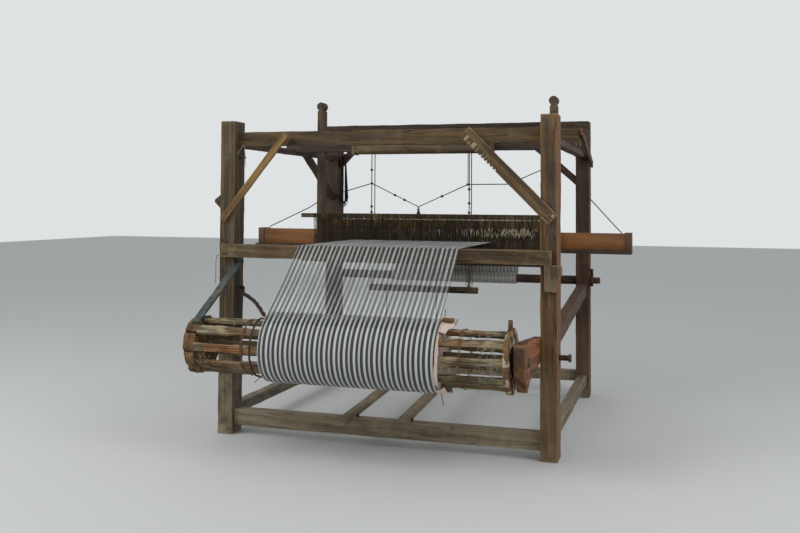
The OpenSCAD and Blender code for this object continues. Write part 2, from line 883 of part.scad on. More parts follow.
sword_x = bearing_x - sword_gap - sword_w / 2;
sley_l = 2 * (sword_x + sword_w / 2 + box_l);
rocking_x = bearing_x - 4;
sword_low = race_z - race_t - 46;
sword_near = sley_y - sword_d / 2;
sword_far = sley_y + sword_d / 2;

module sword_hole(low, high, slack) {
    block([sword_x - sword_w / 2 - slack, sword_near - slack, low],
          [sword_x + sword_w / 2 + slack, sword_far + slack, high]);
}

module rocking_beam() {
    low = sley_axis_z - rocking_h / 2;
    color(dark_wood) place() difference() {
        block([-rocking_x, sley_y - rocking_d / 2, low],
              [rocking_x, sley_y + rocking_d / 2, low + rocking_h]);
        both_sides() sword_hole(low - 1, low + rocking_h + 1, tenon_gap);
        both_sides() rod_x(rocking_x - 60, rocking_x + 1, sley_y, sley_axis_z, rocker_pin_d);
    }
}

head_r = sword_w * 0.62;
neck_r = 15;

// Sword with a flat round head above a waisted neck
module swords() {
    neck_z = sword_top - 2 * head_r - 2;
    color(wood) place() both_sides() difference() {
        union() {
            sword_hole(sword_low, neck_z, 0);
            rod_y(sword_near, sword_far, sword_x, sword_top - head_r, 2 * head_r);
            block([sword_x - head_r * 0.6, sword_near, neck_z - 1],
                  [sword_x + head_r * 0.6, sword_far, sword_top - head_r]);
        }
        for (s = [-1, 1])
            rod_y(sword_near - 1, sword_far + 1, sword_x + s * (head_r * 0.6 + neck_r * 0.72), neck_z + 3, neck_r);
        rod_x(rocking_x - 61, outer_x, sley_y, sley_axis_z, rocker_pin_d);
    }
}

race_far = sword_far + race_w + box_t;

module race_board() {
    color(orange_wood) place() difference() {
        block([-sley_l / 2, sword_near - 10, race_z - race_t], [sley_l / 2, race_far, race_z]);
        both_sides() sword_hole(race_z - race_t - 1, race_z + 1, tenon_gap);
    }
}

reed_t = 12;
reed_far = sword_far - 2;
reed_half = sword_x - sword_w / 2 - 1;
reed_rim = 12;

// Reed: one wall with a gap for each dent, between a top and a bottom rib
module reed() {
    color(iron) place() difference() {
        block([-reed_half, reed_far - reed_t, race_z], [reed_half, reed_far, race_z + reed_h]);
        for (i = [0:dent_count - 1])
            block([dent_x(i) - (dent_pitch - dent_w) / 2, reed_far - reed_t - 1, race_z + reed_rim],
                  [dent_x(i) + (dent_pitch - dent_w) / 2, reed_far + 1, race_z + reed_h - reed_rim]);
    }
}

cap_d = 40;

// Cap over the reed, rounded along both upper edges
module sley_cap() {
    low = race_z + reed_h;
    round_r = 12;
    mid = reed_far - reed_t / 2;
    color(orange_wood) place() plate_x(-reed_half, reed_half) {
        translate([mid - cap_d / 2, low]) square([cap_d, cap_h - round_r]);
        translate([mid - cap_d / 2 + round_r, low]) square([cap_d - 2 * round_r, cap_h]);
        for (s = [-1, 1])
            translate([mid + s * (cap_d / 2 - round_r), low + cap_h - round_r]) circle(r = round_r);
    }
}

box_in = sword_x + sword_w / 2 + tenon_gap;
box_out = sley_l / 2 - box_end_l;
spindle_y = sword_far + race_w / 2;
spindle_z = race_z + 84;
spindle_post_l = 14;

// Back wall, low front wall, end block and the post that holds the spindle's inner end
module shuttle_box() {
    block([box_in, sword_far - box_t, race_z], [box_out, sword_far, race_z + box_h]);
    block([box_in + 60, sword_far + race_w, race_z], [box_out, race_far, race_z + box_front_h]);
    difference() {
        block([box_out, sword_far - box_t - 6, race_z], [sley_l / 2, race_far, race_z + box_h + 4]);
        rod_x(box_out - 1, box_out + 30, spindle_y, spindle_z, spindle_d);
    }
    difference() {
        union() {
            block([box_in, sword_far, race_z + shuttle_h + 12],
                  [box_in + spindle_post_l, spindle_y + 9, race_z + box_h]);
            block([box_in, sword_far - box_t, race_z + box_h - 8],
                  [box_in + spindle_post_l, spindle_y + 9, race_z + box_h]);
        }
        rod_x(box_in - 1, box_in + spindle_post_l + 1, spindle_y, spindle_z, spindle_d);
    }
}

module shuttle_box_left() {
    color(orange_wood) place() mirror([1, 0, 0]) shuttle_box();
}

module shuttle_box_right() {
    color(orange_wood) place() shuttle_box();
}

// Pins of the rocking beam and the spindles of the pickers
module sley_irons() {
    color(iron) place() both_sides() {
        rod_x(rocking_x - 60, outer_x - 6, sley_y, sley_axis_z, rocker_pin_d);
        rod_x(box_in, box_out + 30, spindle_y, spindle_z, spindle_d);
    }
    color(iron) place() for (p = [left_hang, right_hang])
        rod_y(sley_y + rocking_d / 2, cord_y + cord_r + 3, p[0], hang_nail_z, hang_nail_d);
}

picker_half = shuttle_w / 2 - 2;
picker_top = spindle_z + spindle_d / 2 + 12;
picker_rest = box_out - picker_l - 6;
cord_y = sley_y + rocking_d / 2 + 6;
cord_r = cord_d / 2;
handle_at = [-125, 1352];
hang_nail_z = sley_axis_z - 20;
hang_nail_d = 6;
left_hang = [-476, 1537];
right_hang = [235, 1529];

// Cord from each picker past its sword to the handle, held up by two short hangers
module picking_cords() {
    start = [picker_rest + picker_l / 2, spindle_y, picker_top + gap];
    color(iron) place() {
        tube([[-start[0], start[1], start[2]], [-start[0], start[1], start[2] + 12],
              [-start[0] + 14, cord_y, start[2] + 24], [-960, cord_y, 1360], [-sword_x, cord_y, 1433], [left_hang[0], cord_y, left_hang[1]],
              [handle_at[0] - 4, cord_y, handle_at[1] + 20], [handle_at[0] - 4, cord_y, handle_at[1]]],
             cord_r);
        tube([start, [start[0], start[1], start[2] + 12],
              [start[0] - 14, cord_y, start[2] + 24], [960, cord_y, 1560], [sword_x, cord_y, 1668], [522, cord_y, 1531],
              [right_hang[0], cord_y, right_hang[1]],
              [handle_at[0] + 4, cord_y, handle_at[1] + 20], [handle_at[0] + 4, cord_y, handle_at[1]]],
             cord_r);
        for (p = [left_hang, right_hang])
            translate([p[0], cord_y, p[1]])
                cylinder(h = hang_nail_z - hang_nail_d / 2 - gap - p[1], r = cord_r - 0.5);
    }
}

// Turned handle, hung by its neck
module picking_handle() {
    color(dark_wood) place() translate([handle_at[0], cord_y, handle_at[1]]) rotate_extrude()
        polygon([[0, 0], [7, 0], [9, -6], [7, -12], [13, -22], [16, -40], [14, -60], [8, -70], [0, -72]]);
}

shuttle_rest = box_in + shuttle_l / 2 + 2;
shuttle_y = sword_far + race_w / 2;
tip_l = 26;
tip_r = 7;
hull_l = shuttle_l - 2 * tip_l;
// Radius whose two arcs are the full width apart in the middle and a tip's width at the ends
shuttle_side_r = (hull_l * hull_l / 4 + (shuttle_w / 2 - tip_r) * (shuttle_w / 2 - tip_r)) / (shuttle_w - 2 * tip_r);

// Boat shuttle with a well for the pirn and two pointed iron tips, at rest in the right box
module shuttle() {
    off = shuttle_side_r - shuttle_w / 2;
    color(light_wood) place() translate([shuttle_rest, shuttle_y, race_z + gap]) {
        difference() {
            intersection() {
                translate([0, off, 0]) cylinder(h = shuttle_h, r = shuttle_side_r, $fn = 400);
                translate([0, -off, 0]) cylinder(h = shuttle_h, r = shuttle_side_r, $fn = 400);
                block([-hull_l / 2, -shuttle_w, -1], [hull_l / 2, shuttle_w, shuttle_h + 1]);
            }
            block([-hull_l * 0.3, -shuttle_w * 0.3, 6], [hull_l * 0.3, shuttle_w * 0.3, shuttle_h + 1]);
        }
        both_sides() translate([hull_l / 2, 0, shuttle_h / 2]) rotate([0, 90, 0])
            cylinder(h = tip_l, r1 = tip_r, r2 = 1.5);
    }
}

module picker() {
    difference() {
        block([picker_rest, spindle_y - picker_half, race_z + gap],
              [picker_rest + picker_l, spindle_y + picker_half, picker_top]);
        rod_x(picker_rest - 1, picker_rest + picker_l + 1, spindle_y, spindle_z, spindle_d + 2 * fit);
    }
}

module picker_left() {
    color("#7a5030") place() mirror([1, 0, 0]) picker();
}

module picker_right() {
    color("#7a5030") place() picker();
}

// Roller with its two journals and the turns of cord wound on it
module heddle_roller() {
    color(light_wood) place() {
        rod_x(-roller_l / 2, roller_l / 2, roller_y, roller_z, roller_d);
        both_sides() rod_x(roller_l / 2, roller_l / 2 + cheek_t + 8, roller_y, roller_z, roller_pin_d);
    }
}

shaft_off = roller_d / 2 + cord_d / 2 + gap;
heddle_low = warp_z - eye_h;
heddle_high = heddle_low + heddle_h;

module heddle_bar(y, z) {
    block([-heddle_bar_l / 2, y - heddle_bar_s / 2, z],
          [heddle_bar_l / 2, y + heddle_bar_s / 2, z + heddle_bar_s]);
}

// Heddle strings between the two bars, in every second space of the warp
module heddle_strings(y, first) {
    for (i = [first:2:dent_count - 4])
        block([dent_x(i) + dent_pitch / 2 - 1.2, y - 2, heddle_low + heddle_bar_s],
              [dent_x(i) + dent_pitch / 2 + 1.2, y + 2, heddle_high - heddle_bar_s]);
    both_sides() translate([cord_x, y, heddle_high])
        cylinder(h = roller_z - 8 - heddle_high, d = cord_d);
}

near_shaft_y = roller_y - shaft_off;
far_shaft_y = roller_y + shaft_off;
lam_x = [-345, 395];

module heddle_bars_near() {
    color(wood) place() {
        heddle_bar(near_shaft_y, heddle_low);
        heddle_bar(near_shaft_y, heddle_high - heddle_bar_s);
        rod_x(lam_x[0], lam_x[1], near_shaft_y, lam_z, lam_d);
    }
}

module heddle_bars_far() {
    color(wood) place() {
        heddle_bar(far_shaft_y, heddle_low);
        heddle_bar(far_shaft_y, heddle_high - heddle_bar_s);
    }
}

treadle_top = treadle_z + treadle_t;
tie_gap = 0.5;
function treadle_mid_x(i, y) = treadle_xs[i] - (y - pivot_y) * tan(treadle_slant);

module tie_cord(i, y, high) {
    translate([treadle_mid_x(i, y), y, treadle_top + tie_gap])
        cylinder(h = high - treadle_top - tie_gap, d = cord_d);
}

module heddle_strings_near() {
    color(string) place() {
        heddle_strings(near_shaft_y, 2);
        both_sides() translate([cord_x, near_shaft_y, lam_z + lam_d / 2])
            cylinder(h = heddle_low - lam_z - lam_d / 2, d = cord_d);
        tie_cord(0, near_shaft_y, lam_z - lam_d / 2);
    }
}

module heddle_strings_far() {
    color(string) place() {
        heddle_strings(far_shaft_y, 3);
        tie_cord(1, far_shaft_y, heddle_low);
    }
}

// Plank on its staple's pin, lying at a slant to the warp
module treadle(i) {
    difference() {
        translate([treadle_xs[i], pivot_y, treadle_z]) rotate([0, 0, treadle_slant])
            block([-treadle_w / 2, treadle_starts[i] - pivot_y, 0],
                  [treadle_w / 2, treadle_end_y - pivot_y, treadle_t]);
        rod_x(treadle_xs[i] - treadle_w, treadle_xs[i] + treadle_w, pivot_y, pivot_z,
              hinge_pin_d + 2 * fit);
    }
}

module treadle_left() {
    color(light_wood) place() treadle(0);
}

module treadle_right() {
    color(light_wood) place() treadle(1);
}

cloth_knob_d = 46;

// Cloth beam with its journals in the far posts and a knob at the right end
module cloth_beam() {
    wheel_x = outer_x + 4;
    color(dark_wood) place() {
        rod_x(-inner_x + 6, inner_x - 6, cloth_beam_y, cloth_beam_z, cloth_beam_d);
        rod_x(-outer_x - 14, -inner_x + 6, cloth_beam_y, cloth_beam_z, cloth_journal_d);
        rod_x(inner_x - 6, wheel_x + ratchet_t, cloth_beam_y, cloth_beam_z, cloth_journal_d);
        rod_x(wheel_x + ratchet_t, wheel_x + ratchet_t + 48, cloth_beam_y, cloth_beam_z, cloth_knob_d);
    }
}

module cloth_roll() {
    color(yarn) place() difference() {
        rod_x(-warp_w / 2, warp_w / 2, cloth_beam_y, cloth_beam_z, 2 * cloth_roll_r);
        rod_x(-warp_w / 2 - 1, warp_w / 2 + 1, cloth_beam_y, cloth_beam_z, cloth_beam_d);
    }
}

// Saw teeth: each leans on a radial face
module ratchet_wheel() {
    root = ratchet_r - 8;
    step = 360 / tooth_count;
    color(iron) place() plate_x(outer_x + 4, outer_x + 4 + ratchet_t)
        translate([cloth_beam_y, cloth_beam_z]) difference() {
            polygon([for (i = [0:tooth_count - 1], k = [0, 1])
                let (r = k == 0 ? ratchet_r : root, a = i * step + k * 2)
                r * [cos(a), sin(a)]]);
            circle(d = cloth_journal_d);
        }
}

pawl_reach = 46;

// Pawl on its nail, with its nose clear over the tips of the teeth
module pawl() {
    eye_r = 11;
    nose = tangent_point([cloth_beam_y, cloth_beam_z], ratchet_r + 3 + gap, pawl_pin, -1);
    color(iron) place() plate_x(pawl_x, pawl_x + ratchet_t) difference() {
        union() {
            translate(pawl_pin) circle(r = eye_r);
            slanted(pawl_pin, nose, 5);
        }
        translate(pawl_pin) circle(d = pawl_pin_d + 2 * fit);
    }
}

lever_t = 14;
lever_l = 590;
lever_touch = tangent_point(roll_centre, disc_left_r + lever_t / 2 + gap, lever_pin, 1);

// Lath that leans on the left disc and brakes the warp beam
module brake_lever() {
    run = unit(lever_touch - lever_pin);
    color("#5c6468") place() plate_x(lever_x - lever_w / 2, lever_x + lever_w / 2) difference() {
        slanted(lever_pin - 22 * run, lever_pin + lever_l * run, lever_t);
        translate(lever_pin) circle(d = lever_pin_d + 2 * fit);
    }
}

post_near_left();
post_near_right();
post_far_left();
post_far_right();
top_beam_near();
top_plate_far();
side_rails();
bottom_rail_near();
bottom_rail_far();
bottom_side_rails();
right_mid_rail();
knee_brace_left();
knee_brace_right();
far_braces();
keeper_batten();
back_rest_rail();
rest_block();
breast_rail();
beam_arm_left();
beam_arm_right();
rocker_bearings();
harness_bar();
roller_cheeks();
nails_and_pegs();
treadle_hinges();
warp_threads();
cloth();
brake_rope();
hung_hank();
beam_axle();
beam_disc_left();
beam_disc_right();
beam_slats();
warp_roll();
beam_sticks();
rocking_beam();
swords();
sley_cap();
race_board();
reed();
shuttle_box_left();
shuttle_box_right();
sley_irons();
picking_cords();
picking_handle();
shuttle();
picker_left();
picker_right();
heddle_roller();
heddle_bars_near();
heddle_strings_near();
heddle_bars_far();
heddle_strings_far();
treadle_left();
treadle_right();
cloth_beam();
cloth_roll();
ratchet_wheel();
pawl();
brake_lever();
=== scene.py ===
import random
from math import atan2, copysign, cos, pi, radians, sin
import bpy
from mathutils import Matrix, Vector


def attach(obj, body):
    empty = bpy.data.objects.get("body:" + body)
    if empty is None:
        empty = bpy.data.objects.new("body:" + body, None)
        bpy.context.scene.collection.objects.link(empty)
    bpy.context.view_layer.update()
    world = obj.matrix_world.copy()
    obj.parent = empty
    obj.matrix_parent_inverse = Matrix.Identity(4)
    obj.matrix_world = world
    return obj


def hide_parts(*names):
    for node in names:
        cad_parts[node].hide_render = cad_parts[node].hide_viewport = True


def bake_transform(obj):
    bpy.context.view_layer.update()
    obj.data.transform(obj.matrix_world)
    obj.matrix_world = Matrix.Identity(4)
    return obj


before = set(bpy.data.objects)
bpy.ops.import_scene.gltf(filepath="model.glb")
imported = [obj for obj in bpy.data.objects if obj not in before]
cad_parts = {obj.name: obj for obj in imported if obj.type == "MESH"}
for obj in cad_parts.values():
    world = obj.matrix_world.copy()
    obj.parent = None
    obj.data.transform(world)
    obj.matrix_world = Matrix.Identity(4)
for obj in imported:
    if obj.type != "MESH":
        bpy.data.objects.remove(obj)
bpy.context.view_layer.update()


# Camera: a shifted view from standing height in front of the warp beam, a little to the right,
# which keeps the loom's posts upright in the picture.
picture_width, middle_row, level_row = 800, 266.5, 172.452
lens_pixels, sensor = 916.887, 36
bpy.ops.object.camera_add(
    location=(1.6717, -5.6924, 1.40),
    rotation=(pi / 2 + 0.03274, -0.0061, 0.2990))
camera = bpy.context.object
camera.name = "camera"
camera.data.sensor_width = sensor
camera.data.lens = lens_pixels / picture_width * sensor
camera.data.shift_y = -(middle_row - level_row) / picture_width
camera.data.clip_end = 200
bpy.context.scene.camera = camera


# Floor and light: a plain pale floor, an even pale sky and two wide soft lamps, of which the
# left one is the stronger.
def tone(code):
    parts = [int(code[i:i + 2], 16) / 255 for i in (1, 3, 5)]
    return tuple(c / 12.92 if c <= 0.04045 else ((c + 0.055) / 1.055) ** 2.4
                 for c in parts) + (1.0,)


def put(tree, kind, values=None, **settings):
    node = tree.nodes.new("ShaderNode" + kind)
    for key, value in settings.items():
        setattr(node, key, value)
    for key, value in (values or {}).items():
        node.inputs[key].default_value = tone(value) if isinstance(value, str) else value
    return node


def wire(tree, start, output, end, entry):
    tree.links.new(start.outputs[output], end.inputs[entry])


def wires(tree, *links):
    for link in links:
        wire(tree, *link)


def new_finish(name, roughness):
    finish = bpy.data.materials.new(name)
    finish.use_nodes = True
    shader = finish.node_tree.nodes["Principled BSDF"]
    shader.inputs["Roughness"].default_value = roughness
    return finish, finish.node_tree, shader


def switch_to(kind):
    bpy.ops.object.mode_set(mode=kind)


def bare():
    if bpy.context.object and bpy.context.object.mode != "OBJECT":
        switch_to("OBJECT")
    bpy.ops.object.select_all(action="DESELECT")


bare()
bpy.ops.mesh.primitive_plane_add(size=40, location=(0, 6, 0))
floor = bpy.context.object
floor.name = "floor"
floor_finish, tree, shader = new_finish("floor_paint", 0.75)
shader.inputs["Base Color"].default_value = tone("#c2c4c3")
floor.data.materials.append(floor_finish)

world = bpy.data.worlds.new("sky")
bpy.context.scene.world = world
world.use_nodes = True
sky = world.node_tree
sky_light = sky.nodes["Background"]
sky_light.inputs["Color"].default_value = tone("#f3f5f6")
sky_light.inputs["Strength"].default_value = 0.62
sky_back = put(sky, "Background", {"Color": "#dfe2e3"})
sky_path = put(sky, "LightPath")
sky_seen = put(sky, "Math", operation="MAXIMUM")
sky_mix = put(sky, "MixShader")
wires(sky, (sky_path, "Is Camera Ray", sky_seen, 0), (sky_path, "Is Glossy Ray", sky_seen, 1),
      (sky_seen, 0, sky_mix, 0), (sky_light, 0, sky_mix, 1), (sky_back, 0, sky_mix, 2),
      (sky_mix, 0, sky.nodes["World Output"], 0))
lamp_aim = Vector((0, 0, 0.9))
for name, place, size, power in (("lamp_left", (-4.5, -4.5, 4.6), 3.5, 230),
                                 ("lamp_right", (4.8, -2.5, 3.8), 3.0, 110)):
    bpy.ops.object.light_add(type="AREA", location=place)
    lamp = bpy.context.object
    lamp.name = name
    lamp.data.size = size
    lamp.data.energy = power
    lamp.rotation_mode = "QUATERNION"
    lamp.rotation_quaternion = (lamp_aim - Vector(place)).to_track_quat("-Z", "Y")
bpy.context.scene.view_settings.view_transform = "Standard"


# Brake rope: a dark, stiff rope from the left post down to the warp beam, where it takes more than
# half a turn round the slats and holds the beam back.
MID = 0.6729
beam_y, beam_z, cage_r, rope_r = -390, 600, 150, 5.5


def at(x, y, z):
    return (x / 1000, y / 1000 - MID, z / 1000)


def line_piece(name, runs, radius, sides, widths=None):
    curve = bpy.data.curves.new(name, "CURVE")
    curve.dimensions = "3D"
    curve.bevel_depth = radius
    curve.bevel_resolution = sides
    curve.use_fill_caps = True
    for run, width in zip(runs, widths or [1] * len(runs)):
        spline = curve.splines.new("POLY")
        spline.points.add(len(run) - 1)
        for point, place in zip(spline.points, run):
            point.co = (*place, 1)
            point.radius = width
    piece = bpy.data.objects.new(name, curve)
    bpy.context.collection.objects.link(piece)
    return piece


def as_mesh(piece):
    bare()
    piece.select_set(True)
    bpy.context.view_layer.objects.active = piece
    bpy.ops.object.convert(target="MESH")
    return bpy.context.object


def fitted(piece, finish, body, replaced=None):
    piece.data.materials.append(finish)
    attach(piece, body)
    if replaced:
        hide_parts(replaced)
    return piece


def strings(name, runs, radius, sides, finish, body, replaced=None, widths=None):
    fitted(as_mesh(line_piece(name, runs, radius, sides, widths)), finish, body, replaced)


def rounded(points, steps=6):
    line = [Vector(p) for p in points]
    smooth = []
    for i in range(len(line) - 1):
        a, b = line[i], line[i + 1]
        before = line[i - 1] if i else a - (b - a)
        after = line[i + 2] if i + 2 < len(line) else b + (b - a)
        for k in range(steps):
            t = k / steps
            bow = (2 * before - 5 * a + 4 * b - after) * t * t
            sway = (3 * a - before - 3 * b + after) * t ** 3
            smooth.append(0.5 * (2 * a + (b - before) * t + bow + sway))
    return smooth + [line[-1]]


def shared_group(name, entries, exits):
    group = bpy.data.node_groups.new(name, "ShaderNodeTree")
    for side, sockets in (("INPUT", entries), ("OUTPUT", exits)):
        for label, kind in sockets.items():
            group.interface.new_socket(label, in_out=side, socket_type="NodeSocket" + kind)
    return group, group.nodes.new("NodeGroupInput"), group.nodes.new("NodeGroupOutput")


def group_finish(name, roughness, group, values, bump, strength=1.0):
    finish, tree, shader = new_finish(name, roughness)
    where = put(tree, "TexCoord")
    part = put(tree, "Group", values, node_tree=group)
    lift = put(tree, "Bump", {"Strength": strength, "Distance": bump})
    wires(tree, (where, "Object", part, "Place"), (part, "Color", shader, "Base Color"),
          (part, "Height", lift, "Height"), (lift, "Normal", shader, "Normal"))
    return finish, tree, shader, where, part


laid_cord, come, go = shared_group("laid_cord", {
    "Place": "Vector", "Dark": "Color", "Pale": "Color", "Fineness": "Float"},
    {"Color": "Color", "Height": "Float"})
lay = put(laid_cord, "TexWave", {"Distortion": 2}, wave_type="BANDS", bands_direction="DIAGONAL")
strand = put(laid_cord, "Mix", data_type="RGBA")
wires(laid_cord, (come, "Place", lay, "Vector"), (come, "Fineness", lay, "Scale"),
      (lay, "Fac", strand, 0), (come, "Dark", strand, 6), (come, "Pale", strand, 7),
      (strand, 2, go, "Color"), (lay, "Fac", go, "Height"))


def cord_finish(name, dark, pale, fineness):
    return group_finish(name, 0.9, laid_cord,
                        {"Dark": dark, "Pale": pale, "Fineness": fineness}, 0.001)[0]


toned_part, come, go = shared_group("toned_part", {
    "Color": "Color", "Place": "Vector", "Axis": "Vector", "Start": "Float", "Stop": "Float",
    "Tone": "Color", "Amount": "Float"}, {"Color": "Color"})
along = put(toned_part, "VectorMath", operation="DOT_PRODUCT")
share = put(toned_part, "MapRange")
toned = put(toned_part, "Mix", data_type="RGBA")
wires(toned_part, (come, "Place", along, 0), (come, "Axis", along, 1), (along, "Value", share, 0),
      (come, "Start", share, 1), (come, "Stop", share, 2), (come, "Amount", share, 4),
      (share, 0, toned, 0), (come, "Color", toned, 6), (come, "Tone", toned, 7),
      (toned, 2, go, "Color"))


def coloured_from(finish, axis, start, stop, code, amount):
    tree = finish.node_tree
    shader = tree.nodes["Principled BSDF"]
    before = shader.inputs["Base Color"].links[0].from_socket
    where = put(tree, "TexCoord")
    part = put(tree, "Group", {"Start": start, "Stop": stop, "Tone": code, "Amount": amount},
               node_tree=toned_part)
    part.inputs["Axis"].default_value = [letter == axis for letter in "XYZ"]
    tree.links.new(before, part.inputs["Color"])
    wires(tree, (where, "Object", part, "Place"), (part, "Color", shader, "Base Color"))


def round_beam(x, radius, angle):
    return at(x, beam_y + radius * cos(angle), beam_z + radius * sin(angle))


rope_step = 24
rope_ring = (cage_r + 0.3 + rope_r) / cos(radians(rope_step / 2))
rope_route = [at(-927, 90, 874), at(-905, 88, 872), at(-867, 20, 846), at(-790, -60, 834),
              at(-690, -170, 812)]
rope_route += [round_beam(-545, rope_ring, radians(a)) for a in range(72, 265, rope_step)]
rope_line = rounded(rope_route)
rope_finish = cord_finish("tarred_rope", "#15120f", "#3a3129", 260)
coloured_from(rope_finish, "X", -0.66, -0.59, "#4d3322", 0.9)
brake_rope = fitted(line_piece("brake_rope_laid", [rope_line], rope_r / 1000, 4), rope_finish,
                    "frame", "brake_rope")

ply_out, ply_side, ply_twist = 0.0062, 0.0035, 0.3
plies = []
for phase in (0, 2.1, 4.2):
    ply = []
    for i, spot in enumerate(rounded(rope_route[:6], 18)):
        a = i * ply_twist + phase
        ply.append(spot + Vector((ply_out * cos(a), ply_side * sin(a),
                                  ply_out * sin(a))))
    plies.append(ply[3:-4])
strings("brake_rope_plies", plies, rope_r / 1000, 3, rope_finish, "frame")


# Picking cords: thin dark cords from the two pickers over the swords to the handle, each held up
# by a short hanger from the rocking beam.
cord_dark = cord_finish("picking_twine", "#1a1613", "#40362b", 500)
picker_x, cord_y, beam_foot = 1281, 1256, 1816
left_hanger, right_hanger = (-476, cord_y, 1537), (235, cord_y, 1529)
left_line = [at(-picker_x, 1258, 1196.8), at(-picker_x, 1258, 1208.8),
             at(-picker_x + 14, cord_y, 1220.8), at(-960, cord_y, 1360),
             at(-842, cord_y, 1433), at(*left_hanger), at(-129, cord_y, 1372),
             at(-129, cord_y, 1352)]
right_line = [at(picker_x, 1258, 1196.8), at(picker_x, 1258, 1208.8),
              at(picker_x - 14, cord_y, 1220.8), at(960, cord_y, 1560),
              at(842, cord_y, 1668), at(522, cord_y, 1531), at(*right_hanger),
              at(-121, cord_y, 1372), at(-121, cord_y, 1352)]
for name, line in (("picking_cord_left", left_line), ("picking_cord_right", right_line)):
    cord = fitted(line_piece(name, [line], 0.0034, 2), cord_dark, "sley", "picking_cords")
strings("picking_hangers", [[at(*end), at(end[0], cord_y, beam_foot)]
                            for end in (left_hanger, right_hanger)], 0.0027, 1, cord_dark,
        "sley")


# Hank: spare harness cord hung in sixteen turns over a nail in the left far brace. The turns
# share one fold over the nail and hang down to different depths.
random.seed(5)
hank_x, hank_top, hank_foot, fold_r = -885, 1766, 1364, 14.5
hank_line = []
for turn in range(16):
    lane, hang = fold_r + (turn % 6) * 4.4, random.uniform(0, 46)
    deep = 1779 - turn * 2.1
    for a in range(0, 360, 15):
        across, rise = cos(radians(a)), sin(radians(a))
        if a <= 180:
            hank_line.append(at(hank_x + fold_r * across, deep, hank_top + fold_r * rise))
        else:
            hank_line.append(at(hank_x + lane * across, deep,
                                hank_foot + hang + lane * (1 + rise)))
hank = fitted(line_piece("hank_of_cord", [hank_line], 0.0024, 1),
              cord_finish("hank_cord", "#14110e", "#2e2722", 300), "frame", "hung_hank")


# Timber finish: old hewn wood with long fibres, drying cracks, dust in the hollows and paler, worn
# edges. Every wooden piece of the loom takes it, each with its own colours and grain direction.
def timber_group():
    group, come, go = shared_group("aged_timber", {
        "Grain": "Vector", "Place": "Vector", "Dark": "Color", "Mid": "Color", "Pale": "Color",
        "Cracks": "Float", "Dust": "Float", "Wear": "Float", "Tint": "Color", "Mottle": "Float",
        "Foot": "Float"}, {"Color": "Color", "Roughness": "Float", "Height": "Float"})

    def noise(source, scale, detail, rough=0.55):
        node = put(group, "TexNoise", {"Scale": scale, "Detail": detail, "Roughness": rough})
        wire(group, come, source, node, "Vector")
        return node

    def span(node, output, low, high, to_low=0.0, to_high=1.0):
        step = put(group, "MapRange", {1: low, 2: high, 3: to_low, 4: to_high})
        wire(group, node, output, step, 0)
        return step

    def blend(factor, first, second, mode="MIX"):
        mix = put(group, "Mix", data_type="RGBA", blend_type=mode)
        wires(group, (factor, 0, mix, 0), (*first, mix, 6), (*second, mix, 7))
        return mix

    def sum_of(a, b, weight):
        node = put(group, "Math", {1: weight}, operation="MULTIPLY_ADD")
        wires(group, (b, 0, node, 0), (a, 0, node, 2))
        return node

    def times(a, b, output=0):
        node = put(group, "Math", operation="MULTIPLY")
        wires(group, (a, 0, node, 0), (b, output, node, 1))
        return node

    broad = span(noise("Grain", 7, 4), 0, 0.36, 0.62)
    fibre = span(noise("Grain", 85, 5, 0.7), 0, 0.3, 0.7)
    rings = put(group, "TexWave", {"Scale": 9, "Distortion": 7, "Detail": 3},
                wave_type="BANDS", bands_direction="DIAGONAL")
    wire(group, come, "Grain", rings, "Vector")
    patch = times(span(noise("Place", 4.5, 4, 0.6), 0, 0.47, 0.6), come, "Mottle")
    middle = blend(patch, (come, "Mid"), (come, "Tint"))
    body = blend(broad, (come, "Dark"), (middle, 2))
    streak = times(span(rings, "Fac", 0.5, 1.0, 0, 0.55), fibre)
    body = blend(streak, (body, 2), (come, "Pale"))
    split = noise("Grain", 24, 2, 0.4)
    away = put(group, "Math", {1: 0.5}, operation="SUBTRACT")
    wire(group, split, 0, away, 0)
    near = put(group, "Math", operation="ABSOLUTE")
    wire(group, away, 0, near, 0)
    crack = times(span(near, 0, 0.0, 0.012, 1, 0), come, "Cracks")
    body = blend(crack, (body, 2), (come, "Dark"), "MULTIPLY")
    shape = put(group, "NewGeometry")
    edge = times(span(shape, "Pointiness", 0.505, 0.56), come, "Wear")
    body = blend(edge, (body, 2), (come, "Pale"))
    spots = times(span(noise("Place", 5, 6, 0.65), 0, 0.5, 0.75), come, "Dust")
    height = put(group, "SeparateXYZ")
    wire(group, come, "Place", height, 0)
    low = times(span(height, "Z", 0.6, 0.0), span(noise("Place", 11, 5, 0.7), 0, 0.32, 0.62))
    settled = sum_of(spots, times(low, come, "Foot"), 1)
    powder = put(group, "Mix", {7: "#8b8069"}, data_type="RGBA")
    wires(group, (settled, 0, powder, 0), (body, 2, powder, 6), (powder, 2, go, "Color"),
          (span(fibre, 0, 0, 1, 0.62, 0.9), 0, go, "Roughness"),
          (sum_of(sum_of(fibre, rings, 0.5), crack, -2.2), 0, go, "Height"))
    return group


aged_timber = timber_group()


